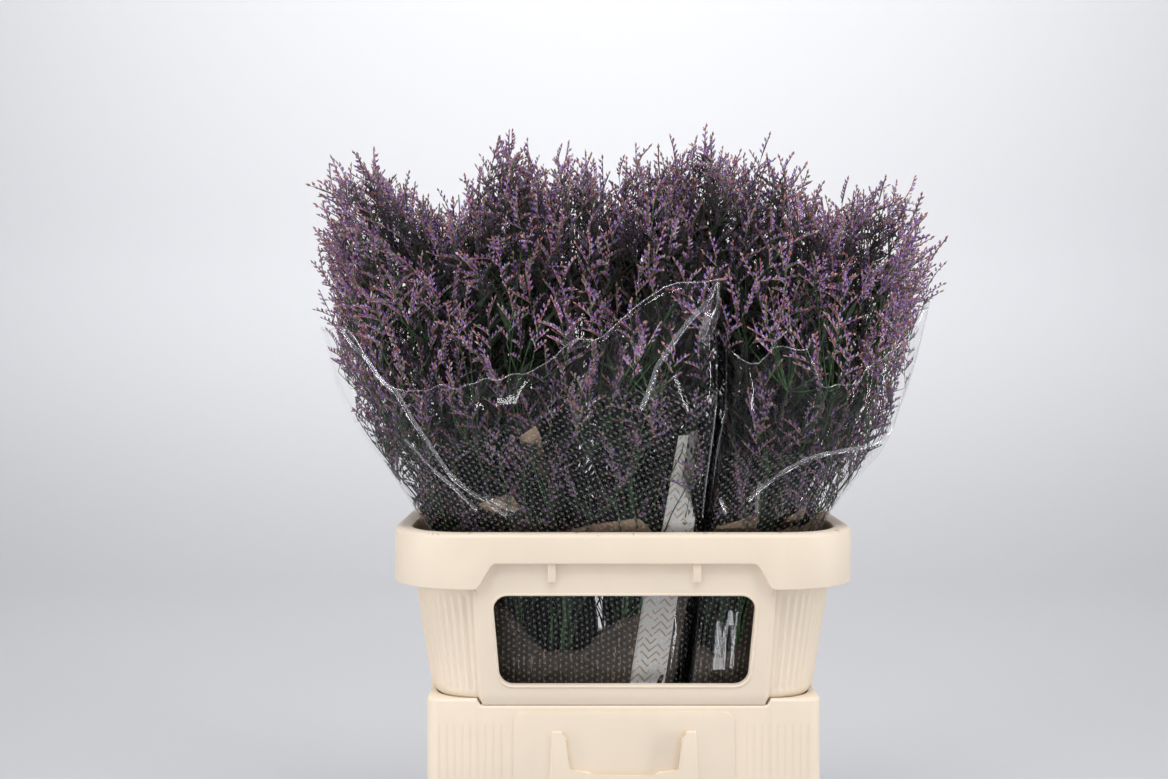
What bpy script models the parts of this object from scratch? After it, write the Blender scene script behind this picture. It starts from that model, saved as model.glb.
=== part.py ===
"""Dried statice: four sleeved bunches standing in a flower bucket under a windowed collar.

Metres, +Z up. The origin is the middle of the bucket's foot, and the front faces -Y.
"""

import math
import random

import bmesh
import bpy
import numpy as np
from mathutils import Vector

# Bucket: half sizes in plan, heights and corner radii
BUCKET_HALF = (0.190, 0.140)
BUCKET_TOP = 0.3197
BUCKET_CORNER = 0.012
MOUTH_HALF = (0.183, 0.133)
MOUTH_CORNER = 0.040
FOOT_HALF = (0.163, 0.114)
FOOT_CORNER = 0.040
SKIRT_BOTTOM = 0.192
FLOOR = 0.004
NOTCH_DEPTH = 0.006

# Collar: it stands on the bucket's rim
COLLAR_SEAT = 0.320
COLLAR_TOP = 0.482
RIM_HALF = (0.225, 0.166)
RIM_CORNER = 0.078
LIP_HALF = (0.206, 0.151)
LIP_CORNER = 0.058
WALL_SEAT_HALF = (0.185, 0.135)
WALL_TOP_HALF = (0.209, 0.159)
PANEL_PROUD = 0.005
PANEL_SEAT = (0.135, 0.080)
PANEL_TOP = (0.1415, 0.0845)
PANEL_FOOT = (0.112, 0.066)
RIM_DEPTH_MIDDLE = 0.0285
RIM_DEPTH_CORNER = 0.053
PLUG_BOTTOM = 0.306
WINDOW_HALF = (0.120, 0.1245)
WINDOW_HEIGHTS = (0.333, 0.422)
WINDOW_CORNER = 0.014
TAB_X = 0.0685

# Sleeves: thin film round each bunch, open at the foot and the top
FILM = 0.0010
FILM_STATIONS = 20
FILM_GAP = 0.0012
FILM_LEVELS = (0.10, 0.30, 0.44, 0.484, 0.53, 0.60)
SHAPE_LEVELS = FILM_LEVELS + (0.68, 0.76, 0.90)

# Half sizes of the whole crown by height, and how square it is there
CROWN = {
    0.10: (0.166, 0.117, 4.0),
    0.30: (0.168, 0.117, 5.0),
    0.44: (0.188, 0.134, 5.0),
    0.484: (0.2064, 0.1514, 5.0),
    0.53: (0.236, 0.172, 4.0),
    0.60: (0.285, 0.212, 3.0),
    0.68: (0.308, 0.232, 2.8),
    0.76: (0.325, 0.246, 2.6),
    0.90: (0.340, 0.255, 2.5),
}
# How far one sleeve opens by height, where it isn't held by its neighbours
OPENING = {0.10: 0.044, 0.30: 0.130, 0.44: 0.160, 0.484: 0.30, 0.90: 0.40}

# Each bunch: which side it stands on, its stems, its middle and its dividing plane by height,
# and the height of the sleeve's top edge by compass angle, anticlockwise from +X in degrees
BUNCHES = {
    "front_left": {
        "sides": (-1, -1),
        "stems": 11,
        "middle": {0.10: (-0.078, -0.052), 0.30: (-0.065, -0.064), 0.484: (-0.065, -0.075), 0.60: (-0.110, -0.110)},
        "plane": {0.10: 0.005, 0.30: 0.058, 0.484: 0.078, 0.60: 0.090},
        "edge": ((0, 0.700), (60, 0.690), (150, 0.690), (195, 0.692), (225, 0.655), (265, 0.648),
                 (300, 0.700), (318, 0.752), (340, 0.725)),
    },
    "front_right": {
        "sides": (1, -1),
        "stems": 8,
        "middle": {0.10: (0.090, -0.050), 0.30: (0.116, -0.064), 0.484: (0.141, -0.075), 0.60: (0.200, -0.110)},
        "plane": {0.10: 0.005, 0.30: 0.058, 0.484: 0.078, 0.60: 0.090},
        "edge": ((5, 0.726), (60, 0.700), (180, 0.690), (225, 0.680), (236, 0.666), (247, 0.690),
                 (267, 0.650), (290, 0.668), (320, 0.700)),
    },
    "back_left": {
        "sides": (-1, 1),
        "stems": 9,
        "middle": {0.10: (-0.090, 0.052), 0.484: (-0.115, 0.075), 0.60: (-0.180, 0.110)},
        "plane": {0.10: 0.0, 0.484: -0.030, 0.60: -0.040},
        "edge": ((0, 0.700), (60, 0.690), (110, 0.670), (158, 0.775), (185, 0.700), (205, 0.655), (270, 0.690)),
    },
    "back_right": {
        "sides": (1, 1),
        "stems": 9,
        "middle": {0.10: (0.076, 0.054), 0.484: (0.085, 0.075), 0.60: (0.140, 0.110)},
        "plane": {0.10: 0.0, 0.484: -0.030, 0.60: -0.040},
        "edge": ((20, 0.705), (70, 0.665), (110, 0.690), (150, 0.675), (180, 0.700), (300, 0.690)),
    },
}

# Stems and their flowering branches
SEED = 24
STEM_FOOT = FLOOR + 0.0003
TIE_HEIGHT = 0.075
TIE_SPREAD = 0.020
FOOT_SPREAD = 0.027
STEM_REACH = 0.80
STEM_RADIUS = (0.0022, 0.0011)
TIP_HEIGHT = 0.886
TIP_FALL = (0.070, 0.125)
TIP_JITTER = 0.018
CROWN_FLARE = (0.62, 1.20)
BRANCH_FROM = 0.500
BRANCH_STEPS = (0.06, 0.28, 0.50, 0.72)
BRANCH_LENGTHS = (0.150, 0.135, 0.112, 0.086)
BRANCH_RADIUS = (0.0014, 0.0026, 0.0014)
FLOWER_STEPS = 3
SPIKE_LENGTH = 0.027
SPIKE_GAP = 0.0026
FILM_CLEAR = 0.005
TURNS_TRIED = 9
GOLDEN_TURN = math.pi * (3 - math.sqrt(5))

# Paper liners, the printed strip and the elastic bands
PAPER = 0.0010
LINER_INSETS = (0.0080, 0.0040, 0.0006, 0.0006, 0.0036)
LINER_STATIONS = 7
LINER_HEIGHTS = (0.130, 0.30, 0.44, 0.484)
LINER_TOPS = (0.498, 0.548, 0.505, 0.600, 0.515, 0.560, 0.496)
STRIP_ROWS = ((0.328, 0.040, 0.034), (0.44, 0.056, 0.033), (0.484, 0.066, 0.030), (0.53, 0.070, 0.027), (0.575, 0.072, 0.023))
STRIP_DEPTH = 0.0020
BAND_SIZE = (0.0016, 0.006)

COLOURS = {
    "cream_plastic": ((0.80, 0.68, 0.54), 0.45),
    "clear_film": ((0.86, 0.88, 0.90), 0.10),
    "kraft_paper": ((0.33, 0.25, 0.17), 0.85),
    "printed_paper": ((0.85, 0.84, 0.80), 0.60),
    "rubber_band": ((0.55, 0.38, 0.20), 0.70),
    "statice": ((0.26, 0.12, 0.36), 0.80),
}


def between(table, height):
    """Reads a size or a tuple of sizes from a table by height, straight between its rows."""
    heights = sorted(table)
    if height <= heights[0]:
        return np.array(table[heights[0]], float)
    for low, high in zip(heights, heights[1:]):
        if height <= high:
            share = (height - low) / (high - low)
            return np.array(table[low], float) * (1 - share) + np.array(table[high], float) * share
    return np.array(table[heights[-1]], float)


# Sleeve outlines


def reach_to_crown(middle, angle, height):
    """How far the crown's outline lies from a point inside it, along a compass angle."""
    half_x, half_y, power = between(CROWN, height)
    low, high = 0.0, half_x + half_y
    for _ in range(30):
        reach = (low + high) / 2
        x = abs(middle[0] + reach * math.cos(angle)) / half_x
        y = abs(middle[1] + reach * math.sin(angle)) / half_y
        low, high = (reach, high) if x**power + y**power < 1 else (low, reach)
    return low


def sleeve_radius(bunch, angle, height):
    """The sleeve's radius about its middle: inside the crown, its opening and its dividing planes."""
    middle = between(bunch["middle"], height)
    limits = [reach_to_crown(middle, angle, height), float(between(OPENING, height))]
    to_plane = float(between(bunch["plane"], height)) - middle[0]
    for gap, direction in ((to_plane, math.cos(angle)), (-middle[1], math.sin(angle))):
        if gap * direction > 1e-9:
            limits.append((abs(gap) - FILM_GAP) / abs(direction))
    return sum(limit**-8 for limit in limits) ** (-1 / 8)


def sleeve_shape(bunch):
    """Middles and station radii of the sleeve at each level, for reading between them."""
    angles = [math.tau * k / FILM_STATIONS for k in range(FILM_STATIONS)]
    rows = [[sleeve_radius(bunch, angle, height) for angle in angles] for height in SHAPE_LEVELS]
    return np.array(rows)


def film_radius(bunch, angle, height):
    """The radius of the sleeve as it is made, flat between its stations and levels."""
    rows = bunch["shape"]
    index = np.interp(height, SHAPE_LEVELS, range(len(SHAPE_LEVELS)))
    low = min(int(index), len(SHAPE_LEVELS) - 2)
    row = rows[low] * (1 - index + low) + rows[low + 1] * (index - low)
    step = math.tau / FILM_STATIONS
    place = (angle % math.tau) / step
    first = int(place) % FILM_STATIONS
    past = (place - int(place)) * step
    r1, r2 = row[first], row[(first + 1) % FILM_STATIONS]
    return r1 * r2 * math.sin(step) / (r1 * math.sin(past) + r2 * math.sin(step - past))


def edge_height(bunch, angle):
    """The height of the sleeve's top edge at a compass angle, eased between the given ones."""
    degrees = math.degrees(angle) % 360
    rows = list(bunch["edge"])
    rows = [(rows[-1][0] - 360, rows[-1][1])] + rows + [(rows[0][0] + 360, rows[0][1])]
    for (a, low), (b, high) in zip(rows, rows[1:]):
        if a <= degrees <= b:
            share = (1 - math.cos(math.pi * (degrees - a) / (b - a))) / 2
            return low + (high - low) * share
    return rows[0][1]


def film_clearance(bunch, point):
    """How far a point lies inside the sleeve, negative outside; None above its top edge."""
    if point[2] < FILM_LEVELS[0]:
        return None
    middle = between(bunch["middle"], point[2])
    offset = np.array(point[:2]) - middle
    angle = math.atan2(offset[1], offset[0])
    if point[2] > edge_height(bunch, angle) + FILM_CLEAR:
        return None
    return film_radius(bunch, angle, point[2]) - math.hypot(*offset)


# How the statice grows


def stem_point(bunch, share, angle, height):
    """A point on a stem that keeps its share of the sleeve's radius at every height."""
    middle = between(bunch["middle"], height)
    flare = 1 + CROWN_FLARE[1] * max(0.0, height - CROWN_FLARE[0])
    wide = STEM_REACH * flare * film_radius(bunch, angle, max(height, SHAPE_LEVELS[1]))
    spread = {STEM_FOOT: FOOT_SPREAD, TIE_HEIGHT: TIE_SPREAD, SHAPE_LEVELS[1]: wide}
    radius = share * float(between(spread, height) if height < SHAPE_LEVELS[1] else wide)
    return np.array((middle[0] + radius * math.cos(angle), middle[1] + radius * math.sin(angle), height))


def tip_height(point, rng):
    """The crown is a low dome, flat across and steeper to the front and back."""
    half_x, half_y, _ = between(CROWN, 0.76)
    fall = TIP_FALL[0] * abs(point[0] / half_x) ** 4 + TIP_FALL[1] * abs(point[1] / half_y) ** 2.6
    return TIP_HEIGHT - fall + rng.uniform(-TIP_JITTER, TIP_JITTER)


def frame_at(twig, index):
    """Direction, side and upper normal of a twig at one of its points, with no twist along it."""
    points = twig["points"]
    ahead = points[min(index + 1, len(points) - 1)] - points[max(index - 1, 0)]
    ahead = ahead / np.linalg.norm(ahead)
    side = np.array((math.sin(twig["turn"]), -math.cos(twig["turn"]), 0.0))
    side = side - ahead * (side @ ahead)
    side = side / np.linalg.norm(side)
    return ahead, side, np.cross(side, ahead)


def corner_directions(twig, index):
    """The three corners of a twig's section: one on top and two below."""
    _, side, upper = frame_at(twig, index)
    turns = [math.pi / 2 + math.tau * k / 3 for k in range(3)]
    return [math.cos(turn) * side + math.sin(turn) * upper for turn in turns]


def spikes_of(twig):
    """The flower spikes of a twig: segment, face, foot and tip of each."""
    points, radii = twig["points"], twig["radii"]
    spikes = []
    for index in range(twig["flowers_from"], len(points) - 1):
        ahead, _, _ = frame_at(twig, index)
        upright = ahead[2] > 0.86
        lower = [points[index] + radii[index] * d for d in corner_directions(twig, index)]
        higher = [points[index + 1] + radii[index + 1] * d for d in corner_directions(twig, index + 1)]
        for face in range(3):
            if face == 1 and not upright:
                continue
            corners = [lower[face], lower[(face + 1) % 3], higher[face], higher[(face + 1) % 3]]
            foot = sum(corners) / 4
            outward = foot - (points[index] + points[index + 1]) / 2
            outward = outward / np.linalg.norm(outward)
            lean = 0.62 * outward + 0.62 * ahead + 0.30 * np.array((0, 0, 1.0))
            spikes.append((index, face, foot, foot + SPIKE_LENGTH * lean / np.linalg.norm(lean)))
    return spikes


def twig_tip(twig):
    """The pointed end past a twig's last ring."""
    ahead, _, _ = frame_at(twig, len(twig["points"]) - 1)
    return twig["points"][-1] + SPIKE_LENGTH * ahead


def capsules_of(twig):
    """The twig as round-ended rods, for keeping stems clear of each other."""
    rods = [(a, b, r) for a, b, r in zip(twig["points"], twig["points"][1:], twig["radii"])]
    rods.append((twig["points"][-1], twig_tip(twig), SPIKE_GAP))
    for index, _, foot, tip in spikes_of(twig):
        rods += [(start, tip, SPIKE_GAP) for start in (foot, twig["points"][index], twig["points"][index + 1])]
    return rods


class Thicket:
    """Every rod placed so far, with the stem it belongs to."""

    def __init__(self):
        self.starts, self.ends = np.zeros((0, 3)), np.zeros((0, 3))
        self.radii, self.owners = np.zeros(0), np.zeros(0, int)

    def add(self, rods, owner):
        self.starts = np.vstack([self.starts, [rod[0] for rod in rods]])
        self.ends = np.vstack([self.ends, [rod[1] for rod in rods]])
        self.radii = np.append(self.radii, [rod[2] for rod in rods])
        self.owners = np.append(self.owners, [owner] * len(rods))

    def is_clear(self, rods, owner, gap):
        others = self.owners != owner
        starts, ends, radii = self.starts[others], self.ends[others], self.radii[others]
        if not len(starts):
            return True
        return all((rod_gaps(a, b, starts, ends) > r + radii + gap).all() for a, b, r in rods)


def rod_gaps(a, b, starts, ends):
    """The distances between the middle line of one rod and those of many."""
    u, v, w = b - a, ends - starts, a - starts
    uu, vv, uv = u @ u, (v * v).sum(1), v @ u
    uw, vw = w @ u, (w * v).sum(1)
    s = np.clip((uv * vw - vv * uw) / np.maximum(uu * vv - uv * uv, 1e-12), 0, 1)
    t = np.clip((uv * s + vw) / vv, 0, 1)
    s = np.clip((uv * t - uw) / uu, 0, 1)
    return np.linalg.norm(w + s[:, None] * u - t[:, None] * v, axis=1)


def keeps_to_sleeve(rods, name):
    """True where the rods stay inside their own sleeve and outside the others."""
    for a, b, radius in rods:
        for share in np.linspace(0, 1, 6):
            point = a * (1 - share) + b * share
            for other, bunch in BUNCHES.items():
                inside = film_clearance(bunch, point)
                if inside is None:
                    continue
                if (inside if other == name else -inside) < radius + FILM_CLEAR:
                    return False
    return True


def branch(start, turn, length, rise):
    """A side branch that arches up from the stem, bare first and then in flower."""
    across = np.array((math.cos(turn), math.sin(turn), 0.0))
    points = []
    for share in [0.0] + [0.32 + 0.68 * k / FLOWER_STEPS for k in range(FLOWER_STEPS + 1)]:
        out = length * (0.78 * share - 0.22 * share**2)
        up = length * (rise * share + 0.38 * share**2)
        points.append(start + across * out + np.array((0, 0, up)))
    thin, full, end = BRANCH_RADIUS
    radii = [thin, thin] + [full + (end - full) * k / FLOWER_STEPS for k in range(1, FLOWER_STEPS + 1)]
    radii[2] = full
    return {"points": points, "radii": radii, "flowers_from": 1, "turn": turn}


def main_stem(bunch, share, angle, rng):
    """The upright stem: cut foot, tie, collar mouth, crown and flowering top."""
    top = tip_height(stem_point(bunch, share, angle, 0.76), rng)
    heights = [STEM_FOOT, TIE_HEIGHT, 0.30, 0.484, 0.60]
    heights += [top - 0.082, top - 0.062, top - 0.042, top - 0.022]
    points = [stem_point(bunch, share, angle, height) for height in heights]
    thick, thin = STEM_RADIUS
    radii = [thick, thick, thick, 0.0018, 0.0015, thin, BRANCH_RADIUS[1], 0.0022, 0.0015]
    return {"points": points, "radii": radii, "flowers_from": len(heights) - 4, "turn": angle}


def point_along(points, height):
    """The point of a rising path at a height."""
    for a, b in zip(points, points[1:]):
        if a[2] <= height <= b[2]:
            return a + (b - a) * (height - a[2]) / (b[2] - a[2])
    return points[-1]


def grow_statice():
    """Every stem with its branches: a list of name, and twigs with the stem first."""
    rng = random.Random(SEED)
    thicket = Thicket()
    stems = []
    for name, bunch in BUNCHES.items():
        for number in range(bunch["stems"]):
            share = math.sqrt((number + 0.5) / bunch["stems"])
            angle = (number * GOLDEN_TURN + 0.4) % math.tau
            stem = main_stem(bunch, share, angle, rng)
            stems.append((f"statice_{name}_{number + 1:02d}", name, [stem]))
            thicket.add(capsules_of(stem), len(stems) - 1)
    thicket.add(strip_rods(), len(stems))
    for step, (share, length) in enumerate(zip(BRANCH_STEPS, BRANCH_LENGTHS)):
        for owner, (_, name, twigs) in enumerate(stems):
            low, high = BRANCH_FROM, twigs[0]["points"][-1][2]
            height = low + (high - low) * (share + rng.uniform(-0.04, 0.04))
            start = point_along(twigs[0]["points"], height)
            first_turn = step * GOLDEN_TURN * 1.7 + owner * 2.1 + rng.uniform(-0.5, 0.5)
            size = length * rng.uniform(0.85, 1.12)
            rise = rng.uniform(0.42, 0.66)
            for attempt in range(TURNS_TRIED * 3):
                turn = first_turn + (attempt % TURNS_TRIED) * math.tau / TURNS_TRIED
                twig = branch(start, turn, size * (1 - 0.18 * (attempt // TURNS_TRIED)), rise)
                rods = capsules_of(twig)
                if keeps_to_sleeve(rods, name) and thicket.is_clear(rods, owner, 0.0008):
                    thicket.add(rods, owner)
                    twigs.append(twig)
                    break
    return stems


# Mesh helpers


def add_object(name, mesh, material):
    mesh.materials.clear()
    mesh.materials.append(material_of(material))
    obj = bpy.data.objects.new(name, mesh)
    bpy.context.scene.collection.objects.link(obj)
    return obj


def material_of(name):
    found = bpy.data.materials.get(name)
    if found:
        return found
    colour, roughness = COLOURS[name]
    material = bpy.data.materials.new(name)
    material.use_nodes = True
    shader = material.node_tree.nodes["Principled BSDF"]
    shader.inputs["Base Color"].default_value = (*colour, 1)
    shader.inputs["Roughness"].default_value = roughness
    shader.inputs["Metallic"].default_value = 0.0
    return material


def mesh_from(bm, name):
    bmesh.ops.triangulate(bm, faces=bm.faces)
    bmesh.ops.recalc_face_normals(bm, faces=bm.faces)
    if bm.calc_volume(signed=True) < 0:
        bmesh.ops.reverse_faces(bm, faces=bm.faces)
    mesh = bpy.data.meshes.new(name)
    bm.to_mesh(mesh)
    bm.free()
    return mesh


def loft(rings, closed_section=True, caps=False):
    """Rings of points joined in order; the section closes on itself, or its ends are capped."""
    bm = bmesh.new()
    rows = [[bm.verts.new(point) for point in ring] for ring in rings]
    count = len(rows[0])
    pairs = list(zip(rows, rows[1:])) + ([(rows[-1], rows[0])] if closed_section else [])
    for lower, upper in pairs:
        for k in range(count):
            after = (k + 1) % count
            bm.faces.new((lower[k], lower[after], upper[after], upper[k]))
    if caps:
        bm.faces.new(rows[0][::-1])
        bm.faces.new(rows[-1])
    return bm


def sheet_solid(outer, inner):
    """A thin sheet from two grids of points, rows by columns, closed along its four edges."""
    bm = bmesh.new()
    grids = [[[bm.verts.new(point) for point in row] for row in grid] for grid in (outer, inner)]
    rows, columns = len(outer), len(outer[0])
    for grid in grids:
        for i in range(rows - 1):
            for j in range(columns - 1):
                bm.faces.new((grid[i][j], grid[i][j + 1], grid[i + 1][j + 1], grid[i + 1][j]))
    first, second = grids
    for i in range(rows - 1):
        for j in (0, columns - 1):
            bm.faces.new((first[i][j], first[i + 1][j], second[i + 1][j], second[i][j]))
    for j in range(columns - 1):
        for i in (0, rows - 1):
            bm.faces.new((first[i][j], first[i][j + 1], second[i][j + 1], second[i][j]))
    return bm


def prism(outline, low, high):
    """An upright outline in X and Z, carried along Y from low to high."""
    front = [Vector((x, low, z)) for x, z in outline]
    back = [Vector((x, high, z)) for x, z in outline]
    return loft([front, back], closed_section=False, caps=True)


def combine(base, helpers, operation):
    """One Boolean of a collection of helper meshes on an object, applied, helpers removed."""
    collection = bpy.data.collections.new("helpers")
    for mesh in helpers:
        collection.objects.link(bpy.data.objects.new("helper", mesh))
    modifier = base.modifiers.new("combine", "BOOLEAN")
    modifier.operation = operation
    modifier.operand_type = "COLLECTION"
    modifier.collection = collection
    modifier.solver = "EXACT"
    graph = bpy.context.evaluated_depsgraph_get()
    made = bpy.data.meshes.new_from_object(base.evaluated_get(graph))
    base.modifiers.clear()
    base.data = made
    for helper in list(collection.objects):
        bpy.data.objects.remove(helper)
    bpy.data.collections.remove(collection)
    return base


# Bucket and collar


def sides_of(half, panel):
    """The four sides in turn: outward direction, direction of travel, distance and half width."""
    return (
        ((0, -1), (1, 0), half[1], half[0], panel[0]),
        ((1, 0), (0, 1), half[0], half[1], panel[1]),
        ((0, 1), (-1, 0), half[1], half[0], panel[0]),
        ((-1, 0), (0, -1), half[0], half[1], panel[1]),
    )


def stations(half, corner, panel, shares, arc_steps):
    """Round a rounded rectangle: (x, y, outward, share of the panel) at each station.

    The share is None on the corner arcs.
    """
    found = []
    for out, along, distance, side_half, panel_half in sides_of(half, panel):
        for share in shares:
            x = out[0] * distance + along[0] * share * panel_half
            y = out[1] * distance + along[1] * share * panel_half
            found.append((x, y, out, share))
        centre = [out[k] * (distance - corner) + along[k] * (side_half - corner) for k in (0, 1)]
        for step in range(arc_steps + 1):
            turn = math.pi / 2 * step / arc_steps
            way = [out[k] * math.cos(turn) + along[k] * math.sin(turn) for k in (0, 1)]
            found.append((centre[0] + way[0] * corner, centre[1] + way[1] * corner, way, None))
    return found


def ring_points(half, corner, panel, shares, arc_steps, height, proud=0.0):
    """A ring at a height; height may depend on the station, and panel stations may stand proud."""
    points = []
    for x, y, out, share in stations(half, corner, panel, shares, arc_steps):
        push = proud if share is not None and abs(share) <= 1 else 0.0
        z = height(share) if callable(height) else height
        points.append((x + out[0] * push, y + out[1] * push, z))
    return points


def rim_low(share):
    """The height of the collar's skirt: shallow in the middle of a side, deep at the corners."""
    if share is None or abs(share) >= 1:
        return COLLAR_TOP - RIM_DEPTH_CORNER
    ease = min(max((abs(share) - 0.86) / 0.14, 0), 1)
    ease = ease * ease * (3 - 2 * ease)
    return COLLAR_TOP - RIM_DEPTH_MIDDLE - (RIM_DEPTH_CORNER - RIM_DEPTH_MIDDLE) * ease


def rim_root(share):
    """The height where the skirt leaves the wall inside."""
    if share is None or abs(share) > 1:
        return COLLAR_TOP - 0.004
    return rim_low(share) + 0.002


def seat_height(share):
    """The panels hang a little lower than the fluted corners."""
    return COLLAR_SEAT - (NOTCH_DEPTH if share is not None and abs(share) <= 1 else 0)


def wall_half(height):
    share = (height - COLLAR_SEAT) / (COLLAR_TOP - COLLAR_SEAT)
    return [a + (b - a) * share for a, b in zip(WALL_SEAT_HALF, WALL_TOP_HALF)]


def collar():
    """The windowed collar: plug, flared wall, lip and deep curved skirt."""
    shares = (-1.035, -1.0, -0.93, -0.86, 0.86, 0.93, 1.0, 1.035)
    arc = 4

    def ring(half, corner, height, panel=PANEL_TOP, proud=0.0):
        return ring_points(half, corner, panel, shares, arc, height, proud)

    def inset(half, by):
        return (half[0] - by, half[1] - by)

    root = []
    for index, (_, _, _, share) in enumerate(stations(RIM_HALF, RIM_CORNER, PANEL_TOP, shares, arc)):
        height = rim_root(share)
        root.append(ring(wall_half(height), 0.060, height, proud=PANEL_PROUD)[index])
    rings = [
        ring((0.1775, 0.1275), 0.037, PLUG_BOTTOM, PANEL_SEAT),
        ring(LIP_HALF, LIP_CORNER, COLLAR_TOP),
        ring(RIM_HALF, RIM_CORNER, COLLAR_TOP),
        ring(inset(RIM_HALF, 0.0005), RIM_CORNER, rim_low),
        ring(inset(RIM_HALF, 0.0030), RIM_CORNER - 0.002, rim_low),
        ring(inset(RIM_HALF, 0.0030), RIM_CORNER - 0.002, rim_root),
        root,
        ring(WALL_SEAT_HALF, 0.045, seat_height, PANEL_SEAT, PANEL_PROUD),
        ring((0.1812, 0.1312), 0.041, seat_height, PANEL_SEAT),
        ring((0.1805, 0.1305), 0.0405, PLUG_BOTTOM, PANEL_SEAT),
    ]
    body = add_object("collar", mesh_from(loft(rings), "collar"), "cream_plastic")
    combine(body, [window_cutter()], "DIFFERENCE")
    return combine(body, [tab(x, side) for x in (-TAB_X, TAB_X) for side in (-1, 1)], "UNION")


def window_cutter():
    """The window's outline, a little narrower at its foot, carried right through."""
    low, high = WINDOW_HEIGHTS
    narrow, wide = WINDOW_HALF
    outline = []
    for x, z, turn in ((wide, high, 0), (-wide, high, 1), (-narrow, low, 2), (narrow, low, 3)):
        cx = x - math.copysign(WINDOW_CORNER, x)
        cz = z - WINDOW_CORNER if z == high else z + WINDOW_CORNER
        for step in range(4):
            angle = math.pi / 2 * (turn + step / 3)
            outline.append((cx + WINDOW_CORNER * math.cos(angle), cz + WINDOW_CORNER * math.sin(angle)))
    return mesh_from(prism(outline, -0.2, 0.2), "cutter")


def tab(x, side):
    """A small peg under the rim, proud of the panel."""
    top, bottom = COLLAR_TOP - RIM_DEPTH_MIDDLE + 0.003, COLLAR_TOP - RIM_DEPTH_MIDDLE - 0.019
    half = 0.0042
    root, high_face, low_face = side * 0.156, side * 0.1640, side * 0.1605
    ring_top = [(x - half, root, top), (x + half, root, top), (x + half, high_face, top), (x - half, high_face, top)]
    ring_low = [(x - half, root - side * 0.004, bottom), (x + half, root - side * 0.004, bottom),
                (x + half, low_face, bottom), (x - half, low_face, bottom)]
    return mesh_from(loft([ring_top, ring_low], closed_section=False, caps=True), "tab")


def rim_notch(share):
    """The bucket's rim dips where the collar's panels come down."""
    return BUCKET_TOP - (NOTCH_DEPTH if share is not None and abs(share) < 1.02 else 0)


def bucket():
    """The open bucket: floor, tapered wall, rim, and a straight outer skirt."""
    shares = (-1.045, -1.01, 1.01, 1.045)
    arc = 3

    def ring(half, corner, height, panel=PANEL_SEAT):
        return ring_points(half, corner, panel, shares, arc, height)

    rings = [
        ring((0.159, 0.110), 0.036, FLOOR, PANEL_FOOT),
        ring(MOUTH_HALF, MOUTH_CORNER, rim_notch),
        ring(BUCKET_HALF, BUCKET_CORNER, rim_notch),
        ring(BUCKET_HALF, BUCKET_CORNER, SKIRT_BOTTOM),
        ring((0.1872, 0.1372), 0.0095, SKIRT_BOTTOM),
        ring((0.1872, 0.1372), 0.0095, 0.304),
        ring((0.1843, 0.1343), 0.041, 0.304),
        ring(FOOT_HALF, FOOT_CORNER, 0.006, PANEL_FOOT),
        ring((0.158, 0.109), 0.036, 0.0, PANEL_FOOT),
    ]
    body = add_object("bucket", mesh_from(loft(rings, closed_section=False, caps=True), "bucket"), "cream_plastic")
    reliefs = []
    for side in (-1, 1):
        reliefs.append(mesh_from(relief(panel_outline(), side, 0.0385, 0.0018), "panel"))
        reliefs.append(mesh_from(relief(holder_outline(), side, 0.0392, 0.0062), "holder"))
    return combine(body, reliefs, "UNION")


def relief(outline, side, root, proud):
    """A raised shape on the front or back face of the bucket's skirt."""
    inner = side * (0.1 + root)
    outer = side * (BUCKET_HALF[1] + proud)
    return prism(outline, min(inner, outer), max(inner, outer))


def panel_outline():
    """The raised field behind the card holder, wider at its foot, with round upper corners."""
    top, foot, radius = 0.3080, 0.2120, 0.010
    outline = [(-0.1075, foot), (0.1075, foot)]
    for centre, start in ((0.1056 - radius, 0), (radius - 0.1056, math.pi / 2)):
        for step in range(4):
            angle = start + math.pi / 2 * step / 3
            outline.append((centre + radius * math.cos(angle), top - radius + radius * math.sin(angle)))
    return outline


def holder_outline():
    """The card holder: two posts and a stepped ledge."""
    right = [(0.072, 0.222), (0.069, 0.290), (0.0595, 0.290), (0.0575, 0.2835), (0.0550, 0.2835),
             (0.0530, 0.2525), (0.0330, 0.2505), (0.0290, 0.2470)]
    left = [(-x, z) for x, z in reversed(right)]
    return right + left


# Sleeves, liners, strip and bands


def sleeve(name, bunch):
    """A tube of clear film round one bunch, with an uneven top edge."""
    def ring(height, inset):
        points = []
        for k in range(FILM_STATIONS):
            angle = math.tau * k / FILM_STATIONS
            z = edge_height(bunch, angle) if height is None else height
            middle = between(bunch["middle"], z)
            radius = film_radius(bunch, angle, z) - inset
            points.append((middle[0] + radius * math.cos(angle), middle[1] + radius * math.sin(angle), z))
        return points

    levels = list(FILM_LEVELS) + [None]
    rings = [ring(height, 0.0) for height in levels]
    rings += [ring(height, FILM) for height in reversed(levels)]
    return add_object(f"sleeve_{name}", mesh_from(loft(rings), name), "clear_film")


def liner(name, bunch):
    """A paper wrap against the sleeve, open on its inner side, with a peaked upper edge."""
    facing = math.atan2(bunch["sides"][1], bunch["sides"][0])
    step = 2 * math.tau / FILM_STATIONS
    first = round((facing - step * (LINER_STATIONS - 1) / 2) / (step / 2)) * step / 2
    outer, inner = [], []
    for level in range(len(LINER_HEIGHTS) + 1):
        rows = ([], [])
        for k in range(LINER_STATIONS):
            angle = first + step * k
            height = (*LINER_HEIGHTS, LINER_TOPS[k])[level]
            middle = between(bunch["middle"], height)
            depth = FILM + LINER_INSETS[level]
            for row, inset in zip(rows, (depth, depth + PAPER)):
                radius = film_radius(bunch, angle, height) - inset
                row.append((middle[0] + radius * math.cos(angle), middle[1] + radius * math.sin(angle), height))
        outer.append(rows[0])
        inner.append(rows[1])
    return add_object(f"liner_{name}", mesh_from(sheet_solid(outer, inner), name), "kraft_paper")


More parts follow.
